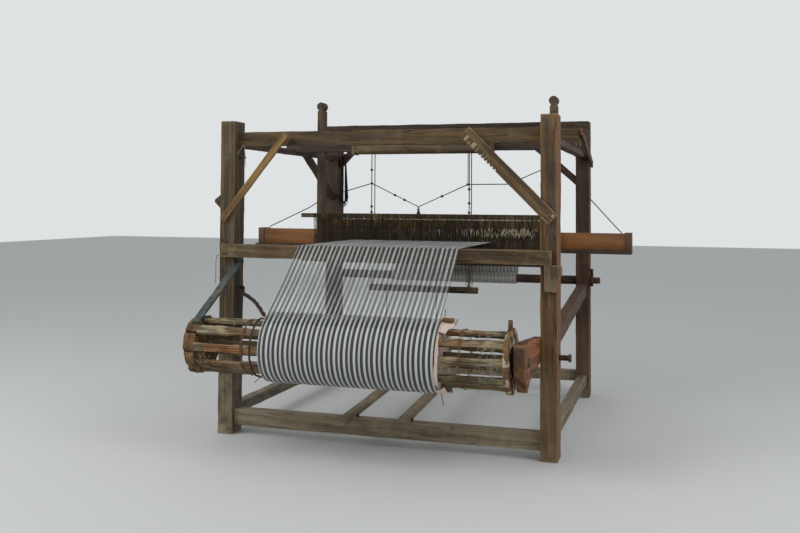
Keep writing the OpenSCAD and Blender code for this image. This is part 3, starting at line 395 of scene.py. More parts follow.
def timber_finish(name, dark, mid, pale, along, turn=0.0, cracks=0.8, dust=0.35, wear=0.5,
                  coat=0.0, bump=0.0022, shift=0.0, tint=None, mottle=0.5, foot=0.0):
    finish, tree, shader, where, wood = group_finish(name, 0.75, aged_timber, {
        "Dark": dark, "Mid": mid, "Pale": pale, "Cracks": cracks, "Dust": dust, "Wear": wear,
        "Tint": tint or pale, "Mottle": mottle, "Foot": foot}, bump, 0.7)
    grain = put(tree, "Mapping", {
        "Location": (shift, shift * 0.7, shift * 1.3),
        "Rotation": (0, turn, 0) if along != "Y" else (turn, 0, 0),
        "Scale": {"X": (14, 1, 1), "Y": (1, 14, 1), "Z": (1, 1, 14)}[along]},
        vector_type="TEXTURE")
    wires(tree, (where, "Object", grain, "Vector"), (grain, 0, wood, "Grain"),
          (wood, "Roughness", shader, "Roughness"))
    shader.inputs["Coat Weight"].default_value = coat
    shader.inputs["Coat Roughness"].default_value = 0.35
    return finish


# Posts: four square hewn timbers. The two on the warp side are olive brown and worn along their
# edges, the two on the weaver's side darker and redder.
def cloud(name, scale, depth):
    texture = bpy.data.textures.new(name, "CLOUDS")
    texture.noise_scale = scale
    texture.noise_depth = depth
    return texture


rough_cloud = cloud("adze_marks", 0.16, 2)
chip_cloud = cloud("edge_chips", 0.035, 1)


def edit_all(*steps):
    switch_to("EDIT")
    bpy.ops.mesh.select_all(action="SELECT")
    for step, settings in steps:
        step(**settings)
    switch_to("OBJECT")


def inset_faces(piece, wanted, **settings):
    switch_to("EDIT")
    bpy.ops.mesh.select_mode(type="FACE")
    bpy.ops.mesh.select_all(action="DESELECT")
    switch_to("OBJECT")
    for face in piece.data.polygons:
        face.select = wanted(face)
    switch_to("EDIT")
    bpy.ops.mesh.inset(**settings)
    bpy.ops.mesh.select_mode(type="VERT")
    switch_to("OBJECT")


def work_copy(node, name):
    bare()
    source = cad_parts[node]
    piece = source.copy()
    piece.data = source.data.copy()
    piece.name = name
    piece.parent = None
    bpy.context.collection.objects.link(piece)
    piece.select_set(True)
    bpy.context.view_layer.objects.active = piece
    edit_all((bpy.ops.mesh.remove_doubles, {"threshold": 0.00001}),
             (bpy.ops.mesh.dissolve_limited, {"angle_limit": 0.002}))
    piece.data.materials.clear()
    return piece


def apply_modifier(piece, kind, **settings):
    step = piece.modifiers.new(kind.lower(), kind)
    for key, value in settings.items():
        setattr(step, key, value)
    bpy.context.view_layer.objects.active = piece
    bpy.ops.object.modifier_apply(modifier=step.name)


def roughened(piece, texture, strength):
    apply_modifier(piece, "DISPLACE", texture=texture, texture_coords="LOCAL", strength=strength,
                   mid_level=0.5)


def soften(angle):
    bpy.ops.object.shade_smooth_by_angle(angle=angle)


def cut_along(piece, axis, step):
    low = min(v.co[axis] for v in piece.data.vertices)
    high = max(v.co[axis] for v in piece.data.vertices)
    normal = [0, 0, 0]
    normal[axis] = 1
    switch_to("EDIT")
    for i in range(1, int((high - low) / step) + 1):
        where = [0, 0, 0]
        where[axis] = low + i * step
        bpy.ops.mesh.select_all(action="SELECT")
        bpy.ops.mesh.bisect(plane_co=where, plane_no=normal)
    switch_to("OBJECT")


def hewn(node, body, finish, axis=2, step=0.03, edge=0.004, rough=0.006):
    piece = work_copy(node, node + "_hewn")
    least_edge, least_face = 0.002, 0.0022
    if edge >= least_edge:
        inset_faces(piece, lambda face: face.area > least_face, thickness=2 * edge,
                    use_individual=True)
    if edge:
        apply_modifier(piece, "BEVEL", width=edge, segments=2, limit_method="ANGLE",
                       angle_limit=0.6)
    cut_along(piece, axis, step)
    roughened(piece, rough_cloud, rough)
    roughened(piece, chip_cloud, 0.6 * rough)
    soften(0.5)
    return fitted(piece, finish, body, node)


post_wood = timber_finish("post_timber", "#231809", "#4a391f", "#7c6640", "Z", cracks=1, wear=0.8,
                          dust=0.3, tint="#3c2a16", foot=0.9)
# Painted shade: the left near post's right side face, which the camera sees, is darkened to stand
# in for its shade.
coloured_from(post_wood, "X", -0.929, -0.9265, "#21160c", 0.32)
right_post_wood = timber_finish("right_post_timber", "#2b1c0a", "#573d1d", "#8a6836", "Z",
                                cracks=1, dust=0.2, wear=0.9, shift=31, tint="#6f4a22", foot=0.5)
coloured_from(right_post_wood, "X", 1.016, 1.0215, "#7d4520", 0.42)
far_wood = timber_finish("far_post_timber", "#1a0e06", "#3d2412", "#5e3e20", "Z", dust=0.12,
                         wear=0.4, shift=3, tint="#4a2c12", foot=0.4)
for side, near_wood in (("left", post_wood), ("right", right_post_wood)):
    hewn("post_near_" + side, "frame", near_wood)
    hewn("post_far_" + side, "frame", far_wood)


# Beams and rails: the near top beam, the plate over the far posts, the rails between the posts
# and the two rest rails, all tenoned or nailed to the posts. Where a treadle or the yarn passes
# close by, the rough surface is kept out of its way.
treadle_room = 0.149
yarn_room, rest_top, rest_near, breast_far = 0.52, 1.144, -0.04, 1.915
beam_wood = timber_finish("beam_timber", "#271a08", "#4b381b", "#745a30", "X", dust=0.25, shift=1,
                          tint="#5a4626")
dark_beam_wood = timber_finish("dark_beam_timber", "#170d05", "#2f1d0e", "#4d341b", "X",
                               dust=0.15, shift=5, tint="#3c2510")
side_wood = timber_finish("side_timber", "#1f1107", "#422714", "#684724", "Y", dust=0.2, shift=2,
                          tint="#53301a")
rest_wood = timber_finish("rest_timber", "#2a1d0c", "#4f3b1e", "#7f683f", "X", dust=0.7, shift=41,
                          tint="#665030", mottle=0.8)
foot_wood = timber_finish("foot_timber", "#463b2b", "#7a6c56", "#a89b84", "X", dust=0.8, shift=7,
                          tint="#75684f", foot=0.4)
foot_side_wood = timber_finish("foot_side_timber", "#372c1d", "#62533c", "#8f7f64", "Y", dust=0.7,
                               tint="#725f44", foot=0.4)
for node, slot, finish, axis in (
        ("top_beam_near", "old_wood", beam_wood, 0),
        ("top_plate_far", "dark_wood", dark_beam_wood, 0),
        ("harness_bar", "dark_wood", dark_beam_wood, 0),
        ("side_rails", "dark_wood", side_wood, 1),
        ("right_mid_rail", "dark_wood", side_wood, 1),
        ("bottom_rail_near", "old_wood", foot_wood, 0),
        ("bottom_rail_far", "dark_wood", foot_wood, 0),
        ("bottom_side_rails", "old_wood", foot_side_wood, 1)):
    rail = hewn(node, "frame", finish, axis)
    if node == "bottom_rail_near":
        for vertex in rail.data.vertices:
            vertex.co.z = min(vertex.co.z, treadle_room)
for node, finish in (("back_rest_rail", rest_wood), ("breast_rail", beam_wood)):
    for vertex in hewn(node, "frame", finish, 0).data.vertices:
        if abs(vertex.co.x) < yarn_room:
            vertex.co.z = min(vertex.co.z, rest_top)
            vertex.co.y = min(max(vertex.co.y, rest_near - MID), breast_far - MID)
block_grey = timber_finish("cleat_timber", "#2f2011", "#5f4930", "#8d7352", "Z", dust=0.6,
                           shift=43, tint="#7a6144", mottle=0.8)
hewn("rest_block", "frame", block_grey, 2, rough=0.008)


# Braces: two battens nailed across the front corners, the left one pale and the right one an old
# notched piece, the knee braces at the back and the batten outside the right posts.
def joined(pieces, name):
    bare()
    for piece in pieces:
        piece.select_set(True)
    bpy.context.view_layer.objects.active = pieces[0]
    if len(pieces) > 1:
        bpy.ops.object.join()
    whole = bpy.context.object
    whole.name = name
    return whole


def cube():
    bare()
    bpy.ops.mesh.primitive_cube_add(size=1, location=(0, 0, 0))
    return bpy.context.object


pale_batten = timber_finish("pale_batten", "#3a290f", "#77592c", "#a5854c", "X", turn=-0.90,
                            dust=0.15, cracks=1, tint="#5f4420", mottle=0.9)
notched_wood = timber_finish("notched_timber", "#261808", "#4a351a", "#8d7144", "X", turn=0.78,
                             wear=0.9, dust=0.15, cracks=1, tint="#3a2812", mottle=0.7)
worn_notch_wood = timber_finish("worn_notch_timber", "#5a4326", "#8d7550", "#b5a17c", "X",
                                turn=0.78, dust=0.2, shift=45)
hewn("knee_brace_left", "frame", pale_batten, 2, rough=0.003, edge=0.002)
hewn("knee_brace_right", "frame", notched_wood, 2, rough=0.003, edge=0.002)
hewn("far_braces", "frame", far_wood, 2)
brace_x, brace_z, mark_back, mark_front = 506, 1799, -20, -23.2
slant = atan2(1310 - brace_z, 998 - brace_x)
for name, marks, finish in (
        ("brace_teeth", ((25, 42, -19, 34), (57, 69, -20, 31), (80, 104, -19, 32),
                         (120, 125, -22, 28), (164, 168, -19, 30), (185, 191, -12, 16),
                         (203, 207, -12, 14), (4, 120, 34, 2.5), (585, 680, 34, 3.5),
                         (672, 686, 14, 16), (640, 684, -33, 2.5)), worn_notch_wood),
        ("brace_seam", ((40, 640, 16, 2.2),), far_wood)):
    strips = []
    for low, high, side, wide in marks:
        strip = cube()
        for vertex in strip.data.vertices:
            run = low if vertex.co.x < 0 else high
            rise = side + (wide / 2 if vertex.co.z > 0 else -wide / 2)
            vertex.co = at(brace_x + run * cos(slant) - rise * sin(slant),
                           mark_back if vertex.co.y > 0 else mark_front,
                           brace_z + run * sin(slant) + rise * cos(slant))
        strips.append(strip)
    marked = joined(strips, name)
    apply_modifier(marked, "BEVEL", width=0.0008, segments=1)
    cut_along(marked, 0, 0.01)
    roughened(marked, chip_cloud, 0.004)
    soften(0.6)
    fitted(marked, finish, "frame")
hewn("keeper_batten", "frame", side_wood, 1, rough=0.003, edge=0.002)
hewn("rocker_bearings", "frame", beam_wood, 2)
hewn("roller_cheeks", "frame", beam_wood, 2, rough=0.002, edge=0.002)
hewn("beam_arm_left", "frame", side_wood, 1)
arm_wood = timber_finish("arm_timber", "#351b0b", "#79431d", "#b07a45", "Y", cracks=1, dust=0.15,
                         shift=4, tint="#5d3216", mottle=0.9)
coloured_from(arm_wood, "Y", -1.176, -1.1895, "#33261a", 0.85)
hewn("beam_arm_right", "frame", arm_wood, 1)


# Iron: the nails, the bolt, the staples and the ratchet are plain forged iron with brown rust.
# The wedge on the left post and the hank's nail are moved to where the scene's pieces need them.
rust_spots, come, go = shared_group("rust_spots", {
    "Place": "Vector", "Clean": "Color", "Rust": "Color", "From": "Float", "To": "Float"},
    {"Color": "Color", "Metallic": "Float", "Height": "Float"})
spots = put(rust_spots, "TexNoise", {"Scale": 60, "Detail": 6})
eaten = put(rust_spots, "MapRange")
skin = put(rust_spots, "Mix", data_type="RGBA")
shine = put(rust_spots, "MapRange", {3: 0.9, 4: 0.0})
wires(rust_spots, (come, "Place", spots, "Vector"), (spots, 0, eaten, 0),
      (come, "From", eaten, 1), (come, "To", eaten, 2), (eaten, 0, skin, 0),
      (come, "Clean", skin, 6), (come, "Rust", skin, 7), (eaten, 0, shine, 0),
      (skin, 2, go, "Color"), (shine, 0, go, "Metallic"), (spots, 0, go, "Height"))


def iron_finish(name, clean, rust, amount):
    least, most = 0.62 - 0.3 * amount, 0.72 - 0.3 * amount
    finish, tree, shader, where, iron = group_finish(name, 0.55, rust_spots, {
        "Clean": clean, "Rust": rust, "From": least, "To": most}, 0.0006)
    wire(tree, iron, "Metallic", shader, "Metallic")
    return finish


def dressed(node, body, finish, edge=0.001):
    piece = work_copy(node, node + "_dressed")
    apply_modifier(piece, "BEVEL", width=edge, segments=2, limit_method="ANGLE", angle_limit=0.6)
    soften(0.6)
    return fitted(piece, finish, body, node)


rusty_iron = iron_finish("rusty_iron", "#38332f", "#45311f", 0.7)
worn_iron = iron_finish("worn_iron", "#55534f", "#4e3a2c", 0.35)
wedge_from, nail_x, nail_z, nail_r = -1.0225, -0.855, 1.772, 0.006
for vertex in dressed("nails_and_pegs", "frame", rusty_iron).data.vertices:
    if vertex.co.x < wedge_from:
        vertex.co.y -= 0.044
    if abs(vertex.co.x - nail_x) < nail_r and abs(vertex.co.z - nail_z) < nail_r:
        vertex.co.x -= 0.03
dressed("treadle_hinges", "frame", rusty_iron)
dressed("sley_irons", "sley", worn_iron)
dressed("ratchet_wheel", "cloth_beam", rusty_iron, 0.0006)
dressed("pawl", "pawl", rusty_iron, 0.0008)


# Warp beam: an axle with a cage of split slats, tied with string, between a plain disc and a left
# end built up from loose blocks. The slats are grey and rubbed.
axle_wood = timber_finish("axle_timber", "#241b10", "#453521", "#6b5839", "X", shift=9)
slat_wood = timber_finish("slat_timber", "#332919", "#685c45", "#9a8c6b", "X", cracks=1, dust=0.4,
                          wear=0.9, shift=11, tint="#8e5c2c", mottle=1)
block_wood = timber_finish("block_timber", "#22150a", "#533a1e", "#8a6a3c", "Z", cracks=1,
                           dust=0.3, shift=13, tint="#8a501c", mottle=0.95)
disc_wood = timber_finish("disc_timber", "#2a180b", "#5c3a1c", "#8d6636", "Z", cracks=1, dust=0.3,
                          shift=15, tint="#3c2814", mottle=0.9)
tree = disc_wood.node_tree
shader = tree.nodes["Principled BSDF"]
where = put(tree, "TexCoord")
noise = put(tree, "TexNoise", {"Scale": 21, "Detail": 5})
share = put(tree, "MapRange", {1: 0.535, 2: 0.575})
flakes = put(tree, "Mix", {7: "#aa9d85"}, data_type="RGBA")
tree.links.new(shader.inputs["Base Color"].links[0].from_socket, flakes.inputs[6])
wires(tree, (where, "Object", noise, "Vector"), (noise, 0, share, 0), (share, 0, flakes, 0),
      (flakes, 2, shader, "Base Color"))
hewn("beam_axle", "warp_beam", axle_wood, 0, rough=0.003)
slats = hewn("beam_slats", "warp_beam", slat_wood, 0, rough=0.014)
rope_groove, groove_from, groove_to = 0.145, -0.6, -0.48
for vertex in slats.data.vertices:
    out = Vector((0, vertex.co.y + MID - beam_y / 1000, vertex.co.z - beam_z / 1000))
    if groove_from < vertex.co.x < groove_to and out.length > rope_groove:
        vertex.co -= out * (1 - rope_groove / out.length)
hewn("beam_disc_left", "warp_beam", block_wood, 0, step=0.012, rough=0.016)
hewn("beam_disc_right", "warp_beam", disc_wood, 2, step=0.02, rough=0.005)
sticks = hewn("beam_sticks", "warp_beam", block_wood, 0, step=0.02, edge=0,
              rough=0.002)
for vertex in sticks.data.vertices:
    foot = Vector(at(vertex.co.x * 1000, -407.3, 764.7))
    if vertex.co.x > 0.48 and (vertex.co - foot).length < 0.016:
        vertex.co.z += 0.03

random.seed(4)
tie_finish = cord_finish("slat_string", "#4b2a20", "#8a6a4a", 900)
slat_count, slat_turn, first_slat = 9, 40, 98
ties = []
for tie_x, turns in ((-597, 3), (-606, 2), (594, 2), (603, 2)):
    ring = []
    for k in range(turns * slat_count + 1):
        a = radians(first_slat + k * slat_turn)
        for lean in (-8, 8):
            ring.append(round_beam(tie_x + random.uniform(-4, 4), 151.8, a + radians(lean)))
    ties.append(ring)
strings("slat_ties", ties, 0.0014, 1, tie_finish, "warp_beam")


def knot_pile(name, spots, size, finish, body):
    bare()
    bpy.ops.mesh.primitive_ico_sphere_add(subdivisions=2, radius=size)
    knot = bpy.context.object
    edit_all((bpy.ops.transform.resize, {"value": (1.2, 0.8, 1.1), "center_override": (0, 0, 0)}))
    roughened(knot, chip_cloud, size)
    twins = []
    for place in spots:
        twin = knot.copy()
        twin.data = knot.data.copy()
        bpy.context.collection.objects.link(twin)
        for vertex in twin.data.vertices:
            vertex.co += place
        twins.append(twin)
    bpy.data.objects.remove(knot)
    pile = joined(twins, name)
    bpy.ops.object.shade_smooth()
    fitted(pile, finish, body)


tie_spots = []
for tie_x in (-601, 599):
    for slat in range(slat_count):
        a = radians(first_slat + slat * slat_turn + 9)
        tie_spots.append(Vector(round_beam(tie_x + random.uniform(-6, 6), 153, a)))
knot_pile("slat_tie_knots", tie_spots, 0.006, tie_finish, "warp_beam")

random.seed(77)
chips = []
for i in range(30):
    chip = cube()
    size = Vector([random.uniform(*limits) for limits in ((14, 40), (14, 34), (10, 20))]) / 1000
    a = radians(i * 12 + random.uniform(-4, 4))
    ring = random.uniform(132, 148) / 1000
    lean = random.uniform(-0.5, 0.5)
    middle = Vector(at(random.uniform(-934, -896), beam_y, beam_z))
    for vertex in chip.data.vertices:
        x, y, z = (vertex.co[k] * size[k] for k in range(3))
        x, y = (x * cos(lean) - y * sin(lean), x * sin(lean) + y * cos(lean))
        z += ring
        vertex.co = middle + Vector((x, y * sin(a) + z * cos(a),
                                     z * sin(a) - y * cos(a)))
    chips.append(chip)
flange_chips = joined(chips, "flange_chips")
edit_all((bpy.ops.mesh.subdivide, {"number_cuts": 3}))
roughened(flange_chips, chip_cloud, 0.009)
soften(0.5)
chip_wood = timber_finish("chip_timber", "#1d1209", "#5e3c1a", "#a3703a", "X", cracks=1, dust=0.4,
                          shift=47, tint="#3a2a1a", mottle=1)
fitted(flange_chips, chip_wood, "warp_beam")


# Striped yarn: white and dark stripes across the warp, the dark ones by turns navy, brown and
# teal, the same on the roll, the threads and the woven cloth.
stripe_pitch = 0.02742
stripe_colours = ("#d6d9d6", "#2b2f33", "#c9ccc8", "#3a302a", "#d2d9da", "#2a3533", "#cdcdc9",
                  "#37322e")
pale_share, wide_pale_share = 0.1, 0.12
yarn_stripes, come, go = shared_group("yarn_stripes", {
    "Place": "Vector", "Ridge": "Vector", "Fineness": "Float", "Weft": "Float"},
    {"Color": "Color", "Height": "Float"})
apart = put(yarn_stripes, "SeparateXYZ")
count = put(yarn_stripes, "Math", {1: stripe_pitch * 4}, operation="DIVIDE")
part = put(yarn_stripes, "Math", operation="FRACT")
ramp = put(yarn_stripes, "ValToRGB")
ramp.color_ramp.interpolation = "CONSTANT"
bands = ramp.color_ramp.elements
while len(bands) < len(stripe_colours):
    bands.new(1.0)
for i, code in enumerate(stripe_colours):
    bands[i].position = (i // 2) * 0.25
    if i % 2:
        bands[i].position += wide_pale_share if i % 4 == 1 else pale_share
    bands[i].color = tone(code)
crossed = put(yarn_stripes, "Mix", {7: "#b9b8b0"}, data_type="RGBA")
thread = put(yarn_stripes, "TexWave", {"Distortion": 0.6, "Detail": 2},
             wave_type="BANDS", bands_direction="X")
shade = put(yarn_stripes, "MapRange", {3: 0.72, 4: 1.06})
shaded = put(yarn_stripes, "Mix", {0: 1}, data_type="RGBA", blend_type="MULTIPLY")
wires(yarn_stripes, (come, "Place", apart, 0), (apart, "X", count, 0), (count, 0, part, 0),
      (part, 0, ramp, 0), (come, "Weft", crossed, 0), (ramp, 0, crossed, 6),
      (come, "Ridge", thread, "Vector"), (come, "Fineness", thread, "Scale"),
      (thread, "Fac", shade, 0), (crossed, 2, shaded, 6), (shade, 0, shaded, 7),
      (shaded, 2, go, "Color"), (thread, "Fac", go, "Height"))


def yarn_finish(name, fineness, across, weft=0.0):
    finish, tree, shader, where, yarn = group_finish(
        name, 0.85, yarn_stripes, {"Fineness": fineness, "Weft": weft}, 0.0012)
    turned = put(tree, "Mapping", {"Rotation": (0, 0, 0 if across == "X" else pi / 2)})
    wires(tree, (where, "Object", turned, "Vector"), (turned, 0, yarn, "Ridge"))
    shader.inputs["Sheen Weight"].default_value = 0.25
    return finish


# Warp roll: hundreds of turns of striped warp round the middle of the slat cage, so the surface
# is a little uneven from stripe to stripe, with sheets of pink paper wound in at its right end.
def rod(name, sides, radius, length, place):
    bare()
    bpy.ops.mesh.primitive_cylinder_add(vertices=sides, radius=radius, depth=length,
                                        location=place, rotation=(0, pi / 2, 0))
    piece = bpy.context.object
    piece.name = name
    bpy.ops.object.transform_apply(location=True, rotation=True, scale=True)
    return piece


roll_z, roll_r, roll_w = beam_z + 6, 0.191, 0.97
roll = rod("roll_of_warp", 96, roll_r, roll_w, at(0, beam_y, roll_z))
inset_faces(roll, lambda face: abs(face.normal.x) > 0.9, thickness=0.038)
cut_along(roll, 0, stripe_pitch / 4)
swell_h, skin_from, rim_from = 0.0011, 0.17, 0.475
for vertex in roll.data.vertices:
    out = Vector((0, vertex.co.y + MID - beam_y / 1000, vertex.co.z - roll_z / 1000))
    if out.length > skin_from:
        swell = swell_h * sin(vertex.co.x / stripe_pitch * 2 * pi) - swell_h
        rim = max(0, abs(vertex.co.x) - rim_from) * 0.35
        vertex.co += out.normalized() * (swell - rim)
soften(0.6)
fitted(roll, yarn_finish("wound_yarn", 125, "X"), "warp_beam", "warp_roll")

paper_finish, paper_tree, paper_shader = new_finish("pink_paper", 0.8)
paper_where = put(paper_tree, "TexCoord")
paper_noise = put(paper_tree, "TexNoise", {"Scale": 40})
paper_mix = put(paper_tree, "Mix", {6: "#b9a396", 7: "#d3c2b8"}, data_type="RGBA")
wires(paper_tree, (paper_where, "Object", paper_noise, "Vector"), (paper_noise, 0, paper_mix, 0),
      (paper_mix, 2, paper_shader, "Base Color"))
roll.data.materials.append(paper_finish)
for face in roll.data.polygons:
    if abs(face.normal.x) > 0.85:
        face.material_index = 1
paper_from, paper_r = 478, 186
for name, start, sweep, reach in (("paper_top", 66, 62, 76), ("paper_foot", 232, 62, 60),
                                  ("paper_side", 128, 92, 20)):
    bare()
    bpy.ops.mesh.primitive_grid_add(x_subdivisions=14, y_subdivisions=22, size=1,
                                    location=(0, 0, 0))
    paper = bpy.context.object
    paper.name = name
    random.seed(len(name))
    for vertex in paper.data.vertices:
        u, v = vertex.co.x + 0.5, vertex.co.y + 0.5
        torn = (0.55 + 0.45 * sin(v * pi)) * (0.85 + 0.3 * random.random())
        crumple = (u ** 1.5) * (5 * sin(v * 19 + u * 4) + random.uniform(-1.5, 1.5))
        vertex.co = round_beam(paper_from + u * reach * torn, paper_r + crumple - 14 * u * u,
                               radians(start + sweep * v))
    apply_modifier(paper, "SOLIDIFY", thickness=0.0008)
    apply_modifier(paper, "SUBSURF", levels=1, render_levels=1)
    bpy.ops.object.shade_smooth()
    fitted(paper, paper_finish, "warp_beam")

wisps = []
for i in range(110):
    x = random.uniform(-870, -690) if i > 85 else random.triangular(650, 822, 760)
    a = radians(random.uniform(110, 215))
    run = []
    for k in range(6):
        run.append(at(x, beam_y + (152.5 + random.uniform(0, 3)) * cos(a),
                      beam_z + (152.5 + random.uniform(0, 3)) * sin(a)))
        x += random.uniform(-9, 9)
        a += random.uniform(-0.05, 0.09)
    wisps.append(run)
wisp_finish = cord_finish("frayed_thread", "#857d6d", "#cdc6b6", 600)
strings("frayed_threads", wisps, 0.0009, 0, wisp_finish, "warp_beam")
twigs = [[at(-486, -470, 470), at(-508, -494, 452), at(-532, -508, 428)],
         [at(486, -440, 452), at(494, -462, 418), at(508, -470, 372)],
         [at(500, -420, 812), at(503, -424, 836), at(502, -425, 852)],
         [at(548, -408, 770), at(562, -415, 790), at(568, -418, 806)]]
strings("roll_twigs", twigs, 0.0021, 1, far_wood, "warp_beam")


# Warp: fine cotton threads from the top of the roll over the back rest, level through the string
# heddles and the reed to the edge of the cloth. There are fewer of them than on a real loom.
random.seed(9)
thread_count, warp_w, warp_z = 470, 968, 1145
leave_r, leave_angle = 187.5, radians(43)
leave_y = beam_y - leave_r * cos(leave_angle)
leave_z = roll_z + leave_r * sin(leave_angle)
warp_runs, warp_widths = [], []
for i in range(thread_count):
    x = (i + 0.5) / thread_count * warp_w - warp_w / 2
    lane = x + random.uniform(-0.5, 0.5)
    slack = random.uniform(-1.5, 1.5)
    half = 1 if i % 2 else -1
    spot = x / 1000 / stripe_pitch
    dark = spot % 1 > (0.4 if int(spot // 1) % 2 else 0.48)
    warp_widths.append(1.3 if dark else 1)
    warp_runs.append([
        at(lane, leave_y, leave_z),
        at(lane, -512, 753.6),
        at(lane + random.uniform(-0.8, 0.8), -275, 939 + slack),
        at(lane, -40.6, 1143.6),
        at(lane, -39, warp_z - 0.1),
        at(lane, 380, warp_z + 0.6 * half),
        at(lane, 847 if half > 0 else 913, warp_z),
        at(lane, 1224, warp_z),
        at(lane, 1345.2, 1144.8)])
strings("warp", warp_runs, 0.0005, 1, yarn_finish("warp_yarn", 1, "Y"), "frame",
        "warp_threads", warp_widths)


# Cloth: the woven end of the warp, striped like it, tight over the breast rail and down to its
# roll, which is drawn thinner than its solid so that the cloth lies on it.
cloth_line = [at(0, 1345.5, 1144.8), at(0, 1600, 1144.8), at(0, 1908, 1144.9), at(0, 1914, 1144.2),
              at(0, 1915.8, 1140), at(0, 1915.9, 1064)]
bare()
bpy.ops.mesh.primitive_plane_add(size=1, location=(0, 0, 0))
cloth = bpy.context.object
cloth.name = "woven_cloth"
for vertex in cloth.data.vertices:
    spot = cloth_line[0] if vertex.co.y < 0 else cloth_line[1]
    vertex.co = Vector((copysign(0.485, vertex.co.x), spot[1], spot[2]))
cloth_leave = at(0, 1849.3, 841)
for before, after in zip(cloth_line[1:], cloth_line[2:] + [cloth_leave]):
    switch_to("EDIT")
    bpy.ops.mesh.select_all(action="DESELECT")
    switch_to("OBJECT")
    for vertex in cloth.data.vertices:
        vertex.select = (Vector((0, *vertex.co[1:])) - Vector(before)).length < 0.0001
    for line in cloth.data.edges:
        line.select = all(cloth.data.vertices[v].select for v in line.vertices)
    switch_to("EDIT")
    bpy.ops.mesh.extrude_region_move(
        TRANSFORM_OT_translate={"value": Vector(after) - Vector(before)})
    switch_to("OBJECT")
apply_modifier(cloth, "SOLIDIFY", thickness=0.001, offset=0)
fitted(cloth, yarn_finish("woven_yarn", 400, "Y", 0.55), "frame", "cloth")
cloth_turns = dressed("cloth_roll", "cloth_beam",
                      yarn_finish("rolled_cloth", 400, "Y", 0.72), 0.003)
core_r, thinner = 0.04, 0.14
for vertex in cloth_turns.data.vertices:
    off = Vector((vertex.co.y + MID - 1.8075, vertex.co.z - 0.84))
    if off.length > core_r:
        vertex.co.y -= off.x * thinner
        vertex.co.z -= off.y * thinner
hewn("cloth_beam", "cloth_beam", dark_beam_wood, 0, rough=0.002)


# Heddles: each shaft is a pair of bars with a curtain of knotted twine loops between them, which
# go round both bars. The roller, its cords and the lam rod below are plain round wood and twine.
twine_finish, tree, shader = new_finish("heddle_twine", 0.9)
where = put(tree, "TexCoord")
drawn = put(tree, "Mapping", {"Scale": (60, 1, 2)})
noise = put(tree, "TexNoise", {"Scale": 3, "Detail": 3})
ramp = put(tree, "ValToRGB")
ramp.color_ramp.elements.new(0.55)
for band, (place, code) in zip(ramp.color_ramp.elements,
                               ((0.35, "#1c140a"), (0.55, "#393018"), (0.68, "#7d6f48"))):
    band.position = place
    band.color = tone(code)
wires(tree, (where, "Object", drawn, "Vector"), (drawn, 0, noise, "Vector"), (noise, 0, ramp, 0),
      (ramp, 0, shader, "Base Color"))
coloured_from(twine_finish, "Z", 1.27, 1.2, "#2e1a0d", 0.45)

cord_x, cord_r = 337, 0.0032
for shaft, shaft_y, seed, lower in (
        ("near", 847.2, 21, ((-cord_x, 851, 994), (cord_x, 851, 994), (-226, 177, 809))),
        ("far", 912.8, 22, ((100, 177, 994),))):
    random.seed(seed)
    loops = []
    for i in range(445):
        x = -752 + i * 3.5 + random.uniform(-1.3, 1.3)
        eye = 1145 + random.uniform(-2, 2)
        sway = random.uniform(-2.5, 2.5)
        near, far, top, foot = shaft_y - 15.2, shaft_y + 15.2, 1323.2, 993.1
        loops.append([at(x, shaft_y, eye), at(x + sway, shaft_y - 9, 1220), at(x, near, 1294),
                      at(x, near, top), at(x, far, top), at(x + 1, far, 1294),
                      at(x + sway, shaft_y + 9, 1220), at(x + 1, shaft_y, eye),
                      at(x + 1 - sway, shaft_y + 9, 1080), at(x, far, 1022), at(x, far, foot),
                      at(x, near, foot), at(x, near, 1022), at(x - sway, shaft_y - 9, 1080),
                      at(x, shaft_y, eye)])
    strings("heddles_" + shaft, loops, 0.0009, 0, twine_finish, "shaft_" + shaft,
            "heddle_strings_" + shaft)
    runs = [[at(x, shaft_y, 1322), at(x, shaft_y, 1748)] for x in (-cord_x, cord_x)]
    upper = as_mesh(line_piece("roller_cords_" + shaft, runs, cord_r, 2))
    upper.data.materials.append(cord_dark)
    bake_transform(upper)
    runs = [[at(x, shaft_y, low), at(x, shaft_y, high)] for x, low, high in lower]
    strings("harness_cords_" + shaft, runs, cord_r, 2, cord_dark, "shaft_" + shaft)
random.seed(31)
pale_twine = cord_finish("pale_twine", "#8d8064", "#cdc1a2", 700)
knot_pile("harness_knots", [Vector(at(x, 847, z)) for x, z in (
    (cord_x, 1490), (cord_x, 1398), (cord_x, 1336), (-cord_x, 1620), (-cord_x, 1373),
    (-cord_x, 1335))], 0.009, cord_dark, "shaft_near")
knot_pile("picking_knots", [Vector(at(x, cord_y, z)) for x, z in (
    (-476, 1537), (235, 1529), (-228, 1419), (48, 1446), (-300, 1453))], 0.0095, cord_dark,
          "sley")
spacing = []
for i in range(40):
    x = -110 + i * 22
    spacing.append(at(x, 830.6 - random.uniform(0, 1), 1288 + random.uniform(-1.5, 1.5)))
tufts = [spacing]
for i in range(115):
    x, z = random.triangular(300, 790, 700), random.uniform(1192, 1240)
    y = 836 + random.uniform(-4, 4)
    tufts.append([at(x, y, z), at(x + random.uniform(-5, 5), y - 3, z - random.uniform(3, 9)),
                  at(x + random.uniform(-9, 9), y - random.uniform(1, 5),
                     z - random.uniform(10, 26))])
strings("heddle_loose_ends", tufts, 0.0014, 1, pale_twine, "shaft_near")
tails = []
for i in range(34):
    a, z = i * 1.3, 1040 - i * 5.4
    out = random.uniform(10, 24)
    tails.append([at(cord_x + 4 * cos(a), 847 + 4 * sin(a), z),
                  at(cord_x + out * cos(a + 0.5), 847 + out * sin(a + 0.5), z - 14),
                  at(cord_x + 1.2 * out * cos(a + 0.9), 847 + 0.8 * out * sin(a + 0.9),
                     z - 40)])
strings("harness_tails", tails, 0.002, 1, cord_finish("brown_twine", "#3a2c18", "#74603a", 500),
        "shaft_near")
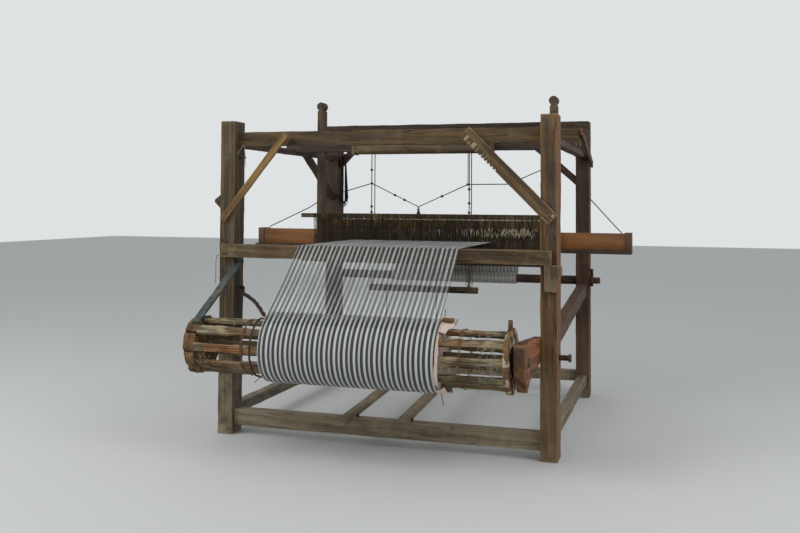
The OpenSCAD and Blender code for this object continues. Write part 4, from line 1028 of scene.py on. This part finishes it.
bar_wood = timber_finish("bar_timber", "#231a0c", "#443620", "#6d5a34", "X", dust=0.2, shift=17,
                         tint="#5c4020")
for shaft in ("near", "far"):
    hewn("heddle_bars_" + shaft, "shaft_" + shaft, bar_wood, 0, rough=0.002,
         edge=0.003)
roller_wood = timber_finish("roller_timber", "#2c2114", "#473822", "#6b5838", "X", dust=0.3,
                            shift=19)
hewn("heddle_roller", "heddle_roller", roller_wood, 0, rough=0.002, edge=0.003)


# Sley: the rocking beam on its pins, two swords with round heads, and below them the race board
# with the reed, its cap and the two varnished shuttle boxes.
sley_wood = timber_finish("sley_varnish", "#4a290d", "#83501f", "#a06c33", "X", cracks=0.3,
                          dust=0.1, coat=0.25, bump=0.001, shift=21, tint="#6b3d18")
for side in (-1, 1):
    coloured_from(sley_wood, "X", side * 1.3035, side * 1.3045, "#2b1a0c", 0.75)
sword_wood = timber_finish("sword_timber", "#1e140a", "#423018", "#6b5230", "Z", dust=0.2,
                           shift=23, tint="#53381c")
hewn("rocking_beam", "sley", dark_beam_wood, 0)
hewn("swords", "sley", sword_wood, 2, rough=0.003, edge=0.003)
hewn("sley_cap", "sley", sley_wood, 0, rough=0.001, edge=0.002)
hewn("race_board", "sley", dark_beam_wood, 0, rough=0.0003, edge=0.002)
for side in ("left", "right"):
    dressed("shuttle_box_" + side, "sley", sley_wood, 0.002)
dressed("picking_handle", "sley", sword_wood)
for side in ("left", "right"):
    dressed("picker_" + side, "picker_" + side, sword_wood, 0.003)
shuttle_wood = timber_finish("shuttle_timber", "#6b4a25", "#9a7140", "#c29a62", "X", cracks=0.2,
                             dust=0.05, coat=0.3, bump=0.0006)
dressed("shuttle", "shuttle", shuttle_wood, 0.002)

reed_y, wire_count, wire_pitch = 1224, 464, 0.00352
reed = cube()
reed.name = "fine_reed"
reed.location = at(-815, reed_y, 1162)
reed.scale = (0.0011, 0.008, 0.128)
bpy.ops.object.transform_apply(location=True, rotation=True, scale=True)
apply_modifier(reed, "BEVEL", width=0.0003, segments=1)
apply_modifier(reed, "ARRAY", count=wire_count, use_relative_offset=False,
               use_constant_offset=True, constant_offset_displace=(wire_pitch, 0, 0))
fitted(reed, iron_finish("reed_wire", "#6a6660", "#4b3c30", 0.2), "sley", "reed")
rib = rod("reed_ribs", 10, 0.006, 1.632, at(0, reed_y, 1102))
cut_along(rib, 0, 0.01)
for vertex in rib.data.vertices:
    vertex.co.z += 0.0006 * sin(vertex.co.x * 900)
apply_modifier(rib, "ARRAY", count=2, use_relative_offset=False, use_constant_offset=True,
               constant_offset_displace=(0, 0, 0.12))
soften(0.6)
fitted(rib, cord_dark, "sley")


# Treadles and brake: two sawn planks that run back under the weaver's feet, and a painted lath
# that leans on the left end of the warp beam.
treadle_wood = timber_finish("treadle_timber", "#4a3d29", "#6d5e45", "#938266", "Y", dust=0.5,
                             shift=25)
for node in ("treadle_left", "treadle_right"):
    hewn(node, node, treadle_wood, 1, rough=0.001, edge=0.002)
lath_paint = timber_finish("lath_paint", "#1b2021", "#353d3c", "#56605f", "Y", cracks=0.6,
                           dust=0.45, bump=0.001, shift=27, tint="#2d2c24", mottle=0.8)
hewn("brake_lever", "brake_lever", lath_paint, 1, rough=0.002, edge=0.0015)


# Odds and ends on the left post: a bent wire hooked under the top beam, and a knotted string that
# hangs from a nail beside the post.
wire_line = rounded([at(-925.4, 30, 1690), at(-889, 40, 1743), at(-880, 41, 1700),
                     at(-872, 41, 1612)], 5)
strings("bent_wire", [wire_line], 0.0015, 2, pale_twine, "frame")
string_line = rounded([at(-1023.5, -3, 1072), at(-1034, -8, 1068), at(-1040, -10, 1040),
                       at(-1040, -10, 985), at(-1041, -10, 905)])
post_string = fitted(line_piece("post_string", [string_line], 0.0016, 2), cord_dark,
                     "frame")
